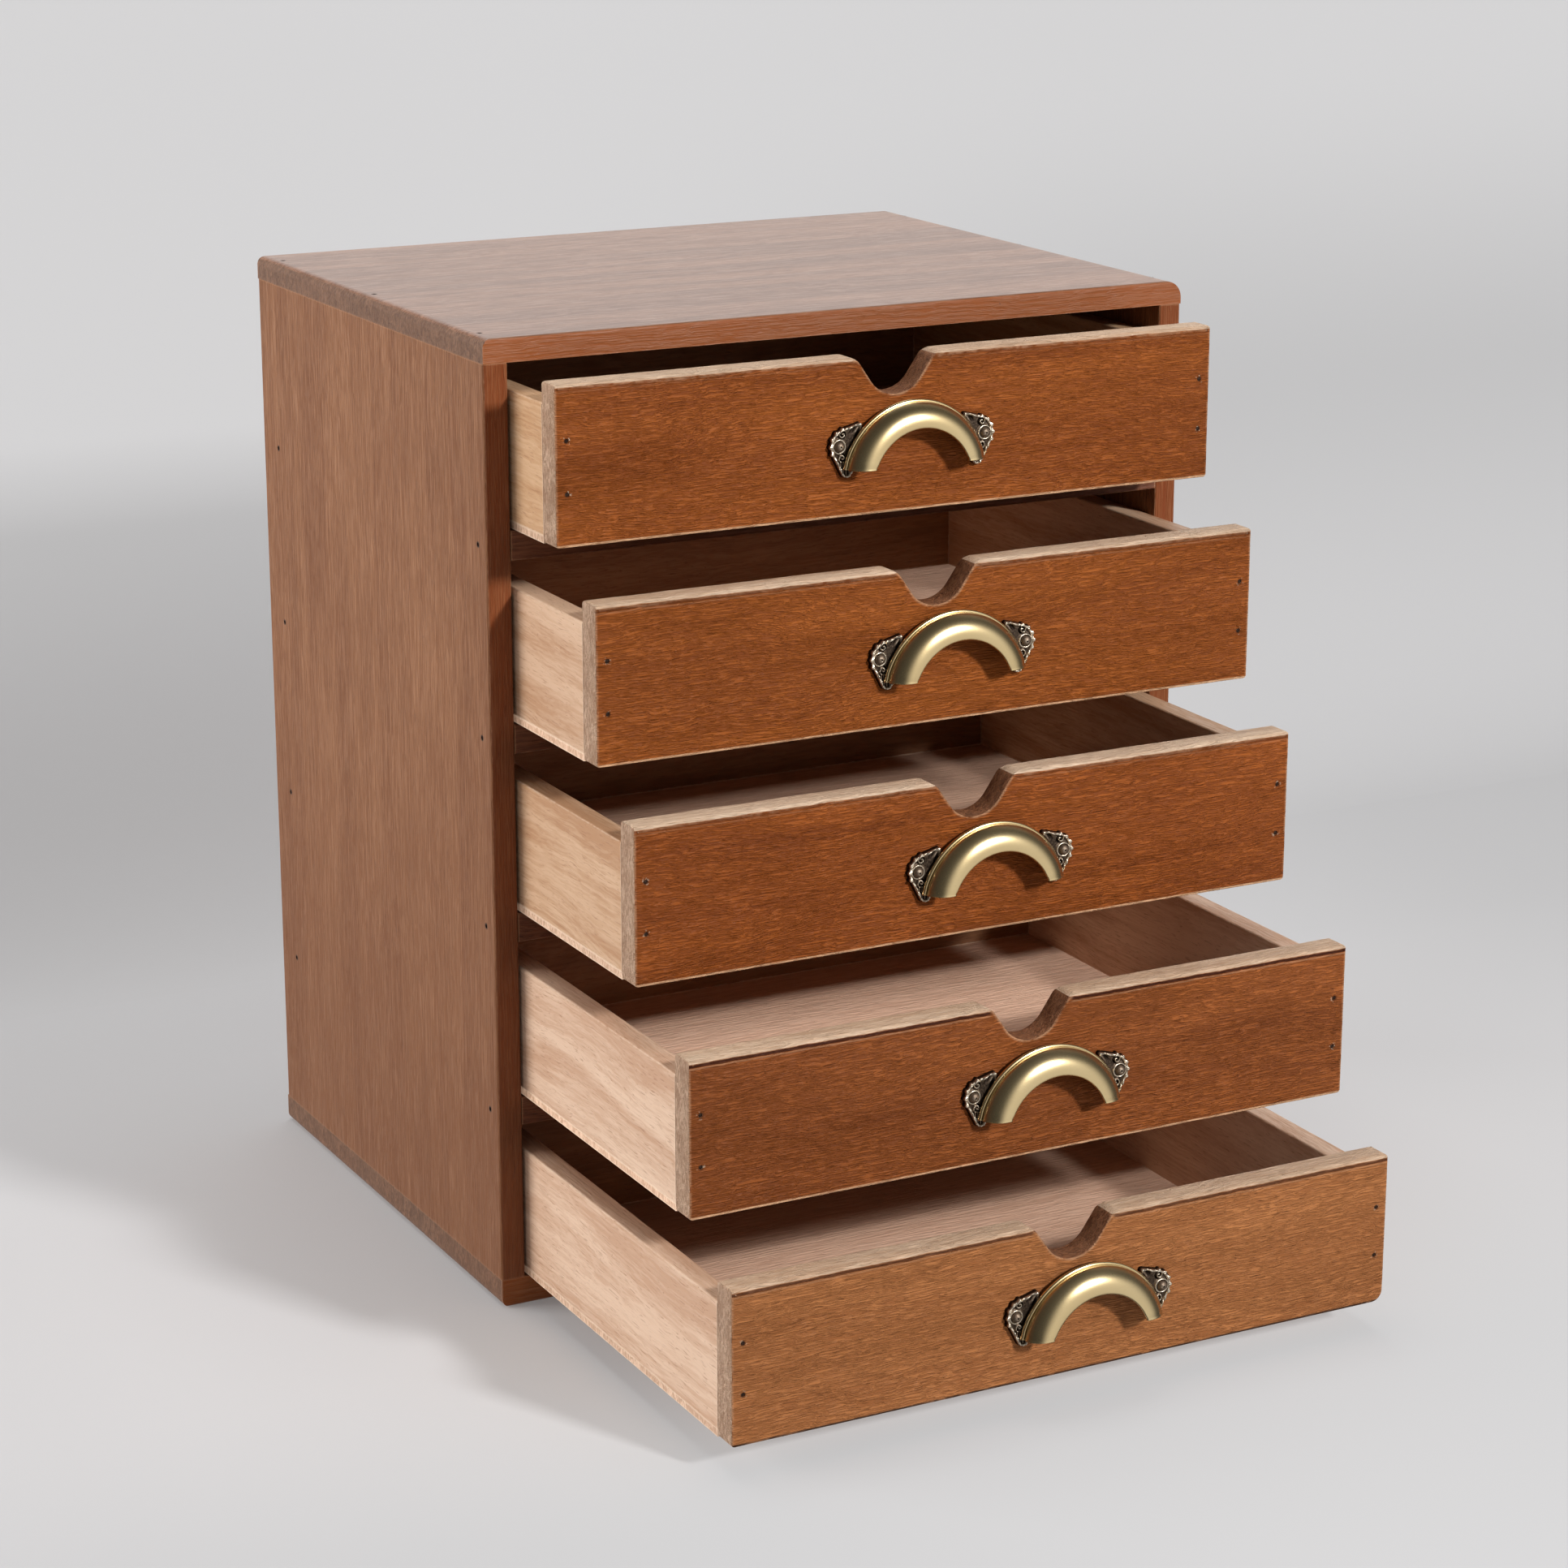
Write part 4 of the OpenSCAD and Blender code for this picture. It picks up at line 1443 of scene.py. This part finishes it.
class Heads:
    """Repeats a head over points with Geometry Nodes, each turned and sized a little differently."""

    INPUTS = {"Head": "Object", "Finish": "Material", "Smallest": "Float", "Largest": "Float", "Seed": "Int"}
    NODES = {
        "start": "NodeGroupInput", "points": "GeometryNodeMeshToPoints",
        "look": "GeometryNodeInputNamedAttribute", "aim": "FunctionNodeAlignRotationToVector",
        "spin": "FunctionNodeRandomValue",
        "size": "FunctionNodeRandomValue", "turn": "FunctionNodeAxisAngleToRotation",
        "both": "FunctionNodeRotateRotation", "info": "GeometryNodeObjectInfo",
        "place": "GeometryNodeInstanceOnPoints", "real": "GeometryNodeRealizeInstances",
        "paint": "GeometryNodeSetMaterial", "end": "NodeGroupOutput"}
    LINKS = (
        ("start", "Places", "points", "Mesh"), ("look", "Attribute", "aim", "Vector"),
        ("aim", "Rotation", "both", "Rotation"), ("start", "Seed", "spin", "Seed"),
        ("spin", 1, "turn", "Angle"), ("turn", "Rotation", "both", "Rotate By"),
        ("start", "Smallest", "size", 2), ("start", "Largest", "size", 3), ("start", "Seed", "size", "Seed"),
        ("start", "Head", "info", "Object"), ("points", "Points", "place", "Points"),
        ("info", "Geometry", "place", "Instance"), ("both", "Rotation", "place", "Rotation"),
        ("size", 1, "place", "Scale"), ("place", "Instances", "real", "Geometry"),
        ("real", "Geometry", "paint", "Geometry"), ("start", "Finish", "paint", "Material"),
        ("paint", "Geometry", "end", "Heads"))

    def __init__(self, name: str, shape: bpy.types.Object, material: bpy.types.Material) -> None:
        """Builds the tree.

        Args:
            name: The tree's name.
            shape: The head, looking along +Z.
            material: Its finish.
        """
        self.shape = shape
        self.material = material
        self.tree = bpy.data.node_groups.new(name, "GeometryNodeTree")
        face = self.tree.interface
        face.new_socket("Places", in_out="INPUT", socket_type="NodeSocketGeometry")
        self.inputs = {label: face.new_socket(label, in_out="INPUT", socket_type=f"NodeSocket{kind}")
                       for label, kind in self.INPUTS.items()}
        face.new_socket("Heads", in_out="OUTPUT", socket_type="NodeSocketGeometry")
        nodes = {label: self.tree.nodes.new(kind) for label, kind in self.NODES.items()}
        nodes["look"].data_type = "FLOAT_VECTOR"
        nodes["look"].inputs["Name"].default_value = "look"
        nodes["aim"].axis = "Z"
        nodes["spin"].data_type = nodes["size"].data_type = "FLOAT"
        nodes["spin"].inputs[3].default_value = math.tau
        nodes["turn"].inputs["Axis"].default_value = (0, 0, 1)
        nodes["both"].rotation_space = "LOCAL"
        for source, output, target, taken in self.LINKS:
            self.tree.links.new(nodes[source].outputs[output], nodes[target].inputs[taken])

    def scatter(self, name: str, places: HeadPlaces, seed: int, smallest: float = 1.0) -> bpy.types.Object:
        """Makes one plain mesh of heads.

        Args:
            name: The piece's name.
            places: Each head's place and the way it looks.
            seed: The seed of the turns and sizes.
            smallest: The smallest size, as a share of the shape's.

        Returns:
            The piece, with no modifier left on it.
        """
        data = bpy.data.meshes.new(name + "_places")
        data.from_pydata([tuple(place) for place, _ in places], [], [])
        look = data.attributes.new("look", "FLOAT_VECTOR", "POINT")
        look.data.foreach_set("vector", [part for _, way in places for part in way])
        carrier = bpy.data.objects.new(name + "_places", data)
        bpy.context.scene.collection.objects.link(carrier)
        modifier = carrier.modifiers.new("heads", "NODES")
        modifier.node_group = self.tree
        for socket, value in zip(self.inputs.values(), (self.shape, self.material, smallest, 1.0, seed)):
            modifier[socket.identifier] = value
        bpy.context.view_layer.update()
        seen = carrier.evaluated_get(bpy.context.evaluated_depsgraph_get())
        made = bpy.data.objects.new(name, bpy.data.meshes.new_from_object(seen))
        made.data.name = name
        bpy.context.scene.collection.objects.link(made)
        bpy.data.objects.remove(carrier)
        return made


@dataclass(frozen=True)
class PinPlan:
    """Where the pins are, from the boards they go through. Sizes are in metres."""

    inset: float = 12 * MM
    sunk: float = 0.4 * MM
    rail_depth: float = 14 * MM

    def cabinet(self) -> HeadPlaces:
        """Places the heads in the cabinet's top, bottom and sides.

        Returns:
            Each head's place and the way it looks.
        """
        low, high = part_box("left_side")
        outer, top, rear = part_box("right_side")[1].x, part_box("top_board")[1].z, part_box("back_panel")[0].y
        middle = outer - (high.x - low.x) / 2
        heads = []
        for side in (-1, 1):
            for z, way in ((top - self.sunk, 1), (self.sunk, -1)):
                heads += [(Vector((side * middle, y, z)), Vector((0, 0, way)))
                          for y in (low.y + self.inset, 0.0, rear - self.inset)]
            for n in range(1, DRAWERS):
                rail_low, rail_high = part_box(f"front_rail_{n}")
                heads += [(Vector((side * (outer - self.sunk), y, (rail_low.z + rail_high.z) / 2)),
                           Vector((side, 0, 0))) for y in (low.y + self.rail_depth / 2, rear - self.inset)]
        return heads

    def drawer(self, number: int, size: FrontSize) -> HeadPlaces:
        """Places the heads in one drawer's front, back and bottom.

        Args:
            number: The drawer's number.
            size: The sizes of its front, which say where the pins are.

        Returns:
            Each head's place and the way it looks.
        """
        low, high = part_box(f"drawer_{number}_front")
        back_low, back_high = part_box(f"drawer_{number}_back")
        heads = []
        for side in (-1, 1):
            for z in (low.z + size.pin_low, low.z + size.pin_high):
                heads += [(Vector((side * size.pin_x, low.y + self.sunk, z)), Vector((0, -1, 0))),
                          (Vector((side * (high.x - self.sunk), (back_low.y + back_high.y) / 2, z)),
                           Vector((side, 0, 0)))]
            heads += [(Vector((side * size.pin_x, y, low.z + self.sunk)), Vector((0, 0, -1)))
                      for y in (high.y + self.inset, (high.y + back_high.y) / 2, back_low.y - self.inset)]
        return heads


# ---- Studio ---------------------------------------------------------------------------


@dataclass(frozen=True)
class Camera:
    """The camera's place, direction and lens."""

    place: tuple[float, float, float] = (-0.6198, -1.2366, 0.5385)
    yaw: float = 27.698
    pitch: float = 16.028
    lens: float = 90.55
    sensor: float = 36.0

    def build(self) -> None:
        """Makes the camera and hands it to the scene."""
        data = bpy.data.cameras.new("camera")
        data.lens = self.lens
        data.sensor_width = self.sensor
        made = bpy.data.objects.new("camera", data)
        made.location = self.place
        made.rotation_euler = (math.radians(90 - self.pitch), 0, math.radians(-self.yaw))
        bpy.context.scene.collection.objects.link(made)
        bpy.context.scene.camera = made


@dataclass(frozen=True)
class Lamp:
    """One soft rectangular lamp that looks at a point.

    Attributes:
        name: Its name.
        way: Direction towards it from what it looks at.
        away: How far off it is.
        size: Its width and height.
        power: Its power in watts.
        mirrored: Whether metal and oiled wood show it.
        only: The one node that it lights, or none for everything.
        target: What it looks at.
    """

    name: str
    way: tuple[float, float, float]
    away: float
    size: tuple[float, float]
    power: float
    mirrored: bool = False
    only: str = ""
    target: tuple[float, float, float] = (0.0, -0.08, 0.16)

    def build(self) -> None:
        """Hangs the lamp."""
        data = bpy.data.lights.new(self.name, "AREA")
        data.shape = "RECTANGLE"
        data.size, data.size_y = self.size
        data.energy = self.power
        made = bpy.data.objects.new(self.name, data)
        way = Vector(self.way).normalized()
        turn = way.to_track_quat("Z", "Y").to_matrix().to_4x4()
        made.matrix_world = Matrix.Translation(Vector(self.target) + way * self.away) @ turn
        made.visible_glossy = self.mirrored
        if self.only:
            lit = bpy.data.collections.new(self.name + "_lights")
            lit.objects.link(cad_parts[self.only])
            made.light_linking.receiver_collection = lit
        bpy.context.scene.collection.objects.link(made)


@dataclass(frozen=True)
class Studio:
    """Pale floor and wall, which glow with painted light and carry painted shade at their sides, soft lamps
    and an even room. Each floor lamp lights one drawer's floor alone.
    """

    floor_size: float = 12.0
    wall_y: float = 0.44
    bend: float = 0.18
    bend_steps: int = 24
    wall_height: float = 3.0
    paper: Colour = srgb(214, 213, 214)
    paper_cloud: Colour = srgb(196, 197, 200)
    glow: Colour = (1.0, 0.995, 1.0, 1.0)
    room: Colour = (1.0, 0.99, 0.98, 1.0)
    room_light: float = 0.17
    lamps: tuple[Lamp, ...] = (
        Lamp("key", (0.36, -1.0, 0.54), 3.0, (0.3, 0.3), 78.0, mirrored=True),
        Lamp("overhead", (0.0, 0.2, 1.0), 2.4, (1.4, 1.4), 21.0),
        Lamp("fill", (-1.0, 0.5, 0.25), 2.4, (1.5, 1.5), 48.0),
        *(Lamp(f"sheet_{n}", (-0.308, -0.862, up), 5.6, (0.18, 0.18), power, only=f"drawer_{n}_bottom")
          for n, up, power in ((2, 0.345, 330.0), (3, 0.375, 200.0), (4, 0.404, 380.0), (5, 0.49, 190.0))),
    )

    def build(self) -> None:
        """Builds the floor, the wall, the lamps and the room."""
        self.floor()
        self.wall()
        for lamp in self.lamps:
            lamp.build()
        self.world()

    def paper_material(self, name: str, one_sided: bool = False) -> bpy.types.Material:
        """Makes the paper of the floor or the wall: matt, with a painted glow that lightens its shadows, most
        in front and up the wall, and painted shade at its sides. The floor's glow also lights the chest.

        Args:
            name: The material's name.
            one_sided: Whether it is clear from behind.

        Returns:
            The material.
        """
        material = bpy.data.materials.new(name)
        material.use_nodes = True
        material.node_tree.nodes.clear()
        sheet = Sheet(material.node_tree)
        place = sheet.add("ShaderNodeTexCoord").outputs["Object"]
        across, ahead, up = sheet.split(place)
        # Painted light and shade: in front and up the wall the paper glows more and takes less lamp light, so
        # shadows there are paler; aside darkens it as painted shade on the floor to the left and low down
        # behind on the right.
        fore = sheet.ramp(ahead, -0.3, -0.12, 1.0, 0.0)
        beside = sheet.ramp(up, 0.16, 0.34, 1.0, 0.2) * sheet.ramp(ahead, -0.15, 0.12)
        aside = (sheet.ramp(across, 0.05, 0.5, 0.0, 0.2) * beside
                 + sheet.ramp(across, -0.35, 0.1, 0.1, 0.0) * sheet.ramp(up, 0.0, 0.12, 1.0, 0.0))
        tone = sheet.layers(self.paper, (sheet.noise(place, 1.3) * 0.06, self.paper_cloud),
                            (fore * 0.55 + sheet.ramp(up, 0.0, 0.2, 0.13, 0.63), BLACK), (aside, BLACK))
        light = sheet.layers(self.glow, (fore * -0.34 + sheet.ramp(up, 0.0, 0.2, 0.87, 0.568), BLACK),
                             (aside, BLACK))
        shown = sheet.add("ShaderNodeAddShader", sheet.add("ShaderNodeBsdfDiffuse", tone).outputs[0],
                          sheet.add("ShaderNodeEmission", light).outputs[0])
        if one_sided:
            shown = sheet.add("ShaderNodeMixShader", sheet.add("ShaderNodeNewGeometry").outputs["Backfacing"],
                              shown.outputs[0], sheet.add("ShaderNodeBsdfTransparent").outputs[0])
        sheet.add("ShaderNodeOutputMaterial", shown.outputs[0])
        return material

    def floor(self) -> None:
        """Lays the floor."""
        mesh = bmesh.new()
        bmesh.ops.create_grid(mesh, x_segments=4, y_segments=4, size=self.floor_size / 2)
        made = piece("floor", mesh, self.paper_material("floor_paper"))
        made.visible_glossy = False

    def wall(self) -> None:
        """Hangs the wall, which the camera sees from the front only and which blocks no light."""
        half = self.floor_size / 2
        profile = arc((self.wall_y - self.bend, self.bend + 0.2 * MM), self.bend, -90, 0, self.bend_steps)
        profile.append((self.wall_y, self.wall_height))
        mesh = bmesh.new()
        # From right to left, so that its faces look towards -Y.
        skin(mesh, [[mesh.verts.new((x, y, z)) for y, z in profile] for x in (half, -half)], closed=False)
        made = piece("wall", mesh, self.paper_material("wall_paper", one_sided=True), turned=False)
        made.visible_diffuse = made.visible_glossy = made.visible_transmission = made.visible_shadow = False

    def world(self) -> None:
        """Fills the room with even light; the camera sees it as pale paper."""
        world = bpy.data.worlds.new("room")
        bpy.context.scene.world = world
        world.use_nodes = True
        world.node_tree.nodes.clear()
        sheet = Sheet(world.node_tree)
        rays = sheet.add("ShaderNodeLightPath").outputs
        across, ahead, up = sheet.split(sheet.add("ShaderNodeTexCoord").outputs["Generated"])
        back = (sheet.ramp(up, 0.8, 1.0, 1.0, 0.0) * sheet.ramp(up, -0.25, -0.05, 0.5, 1.0)
                * sheet.ramp(ahead, 0.0, 0.5))
        front = (sheet.ramp(across, -0.5, 0.2) * sheet.ramp(up, 0.1, 0.7, 1.0, 0.0)
                 * sheet.ramp(ahead, -0.8, -0.3, 1.0, 0.0))
        mirrored = back * 1.1 + (front * 0.6 + 0.06)
        strength = (mirrored - self.room_light) * rays["Is Glossy Ray"] + self.room_light
        lit = sheet.add("ShaderNodeBackground", self.room, strength)
        seen = sheet.add("ShaderNodeBackground", self.paper)
        either = sheet.add("ShaderNodeMixShader", rays["Is Camera Ray"], lit.outputs[0], seen.outputs[0])
        sheet.add("ShaderNodeOutputWorld", either.outputs[0])


# ---- The chest ------------------------------------------------------------------------


class Cabinet:
    """The cabinet's boards, rails, runners and pins."""

    BODY = "cabinet"
    PIN_SEED = 11

    def __init__(self, effects: Effects) -> None:
        """Takes the shared node groups."""
        self.effects = effects
        self.pins = PinPlan().cabinet()

    def bores(self, *way: int) -> tuple[Vector, ...]:
        """Returns the places of the pins that look one way."""
        return tuple(place for place, look in self.pins if look == Vector(way))

    @staticmethod
    def stained(name: str, timber: Timber, grain: Grain, seed: float, **more: object) -> BoardFinish:
        """Returns the finish of one stained board."""
        return BoardFinish(f"{name}_wood", timber, END_STAINED, RUBBED_AND_HIGHLIT, grain, seed, **more)

    def boards(self) -> dict[str, BoardFinish]:
        """Plans the finish of every board.

        Returns:
            Each board's finish by its node.
        """
        plans = {
            "top_board": self.stained("top", TOP_TIMBER, Grain.ALONG_X, 1.0, gloss=0.3, coat=0.57, rub=0.15,
                                      edge=TOP_EDGE_STAIN, pins=self.bores(0, 0, 1)),
            "bottom_board": self.stained("bottom", SIDE_TIMBER, Grain.ALONG_X, 2.0, rub=0.2,
                                         edge=TOP_EDGE_STAIN),
            "back_panel": self.stained("back", RAIL_TIMBER, Grain.ALONG_Z, 5.0, wear=0.0004),
        }
        for k, hand in enumerate(("left", "right")):
            plans[f"{hand}_side"] = self.stained(hand, SIDE_TIMBER, Grain.ALONG_Z, 3.0 + k, rub=0.3,
                                                 edge=EDGE_STAIN, foot=0.5, pins=self.bores(2 * k - 1, 0, 0))
            plans[f"{hand}_runners"] = self.stained(f"{hand}_runner", RAIL_TIMBER, Grain.ALONG_Y, 6.0 + k)
        for n in range(1, DRAWERS):
            plans[f"front_rail_{n}"] = self.stained(f"rail_{n}", RAIL_TIMBER, Grain.ALONG_X, 7.0 + n)
        return plans

    def build(self, heads: Heads) -> None:
        """Dresses the boards and sets the pins.

        Args:
            heads: What repeats a pin's head.
        """
        for node, plan in self.boards().items():
            dress(node, plan.make(self.effects, *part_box(node)))
        pin_heads = heads.scatter("cabinet_pin_heads", self.pins, self.PIN_SEED, SMALLEST_PIN)
        settle(pin_heads, self.BODY, "cabinet_pins")


class Drawer:
    """One drawer: its front, box, pull and pins."""

    SCREW_SEED = 30
    PIN_SEED = 50

    def __init__(self, number: int, effects: Effects) -> None:
        """Finds the drawer's front and pull in the frame.

        Args:
            number: The drawer's number, from the top.
            effects: The shared node groups.
        """
        self.number = number
        self.effects = effects
        self.body = f"drawer_{number}"
        self.tone = DRAWER_TONES[number - 1]
        self.front = DrawerFront(number, FrontSize())
        self.pull = Pull(number, PullSize())

    def boxwork(self) -> dict[str, BoardFinish]:
        """Plans the finish of the drawer's raw pieces.

        Returns:
            Each piece's finish by its node.
        """
        raw = Timber(*self.tone.walls, RAW_PORE, 0.4, 1.5, 0.00006, 0.9, 0.9)
        parts = (("left_side", raw, Grain.ALONG_Y), ("right_side", raw, Grain.ALONG_Y),
                 ("back", RAW_BACK_PAINTED_SHADE, Grain.ALONG_X), ("bottom", SHEET_TIMBER, Grain.ALONG_X))
        return {f"{self.body}_{part}": BoardFinish(f"{self.body}_{part}_wood", timber, END_BARE, RUBBED_RAW_AND_HIGHLIT,
                                                   grain, 20.0 + 5 * self.number + k)
                for k, (part, timber, grain) in enumerate(parts)}

    def face_wood(self) -> bpy.types.Material:
        """Builds the finish of the drawer's front.

        Returns:
            The material.
        """
        tone, front = self.tone, self.front
        timber = Timber(*tone.front, PORE, 0.6, 0.4, 0.0003, 1.0, 2.2, 0.045, 0.3)
        # The lowest front's bottom arris is a dark painted contact shadow; the others' is a pale line, rubbed
        # and partly a painted highlight.
        foot = PIN_STAIN_AND_PAINTED_SHADOW if self.number == DRAWERS else FOOT_LINE
        plan = FrontFinish(f"{self.body}_front_wood", timber, 11.0 * self.number, tone.shade, tone.line,
                           tone.chips, foot)
        return plan.make(self.effects, front.size, front.low, front.high)

    def build(self, brass: bpy.types.Material, casting: bpy.types.Material, screws: Heads,
              pins: Heads) -> None:
        """Builds the drawer's own pieces and dresses the rest.

        Args:
            brass: The arch's finish.
            casting: The ears' finish.
            screws: What repeats a screw's head.
            pins: What repeats a pin's head.
        """
        for node, finish in self.boxwork().items():
            dress(node, finish.make(self.effects, *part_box(node)))
        settle(self.front.build(self.face_wood()), self.body, self.front.node)
        settle(self.pull.arch(brass), self.body, f"{self.body}_pull")
        settle(self.pull.ears(casting), self.body, f"{self.body}_pull_ears")
        screw_heads = screws.scatter(f"{self.body}_screw_heads", self.pull.screw_places(),
                                     self.SCREW_SEED + self.number)
        settle(screw_heads, self.body, f"{self.body}_pull_screws")
        pin_heads = pins.scatter(f"{self.body}_pin_heads", PinPlan().drawer(self.number, self.front.size),
                                 self.PIN_SEED + self.number, SMALLEST_PIN)
        settle(pin_heads, self.body, f"{self.body}_pins")


def main() -> None:
    """Builds the studio and the chest."""
    logging.basicConfig(level=logging.INFO, format="%(name)s: %(message)s")
    bpy.context.scene.view_settings.view_transform = "Standard"
    Camera().build()
    Studio().build()
    effects = Effects()
    brass = BrassFinish("arch_brass", *BRASS).make(effects)
    casting = CastFinish("ear_casting", *CASTING).make(effects)
    steel = PinFinish("pin_steel", *STEEL).make(effects)
    pull, front = PullSize(), FrontSize()
    screw = turned_head("screw_head", pull.head_r, pull.head_h, pull.head_r / 3)
    screws = Heads("screw_heads", screw, casting)
    pins = Heads("pin_heads", turned_head("pin_head", front.pin_r, front.pin_rise), steel)
    Cabinet(effects).build(pins)
    for number in range(1, DRAWERS + 1):
        Drawer(number, effects).build(brass, casting, screws, pins)


if __name__ == "__main__":
    main()
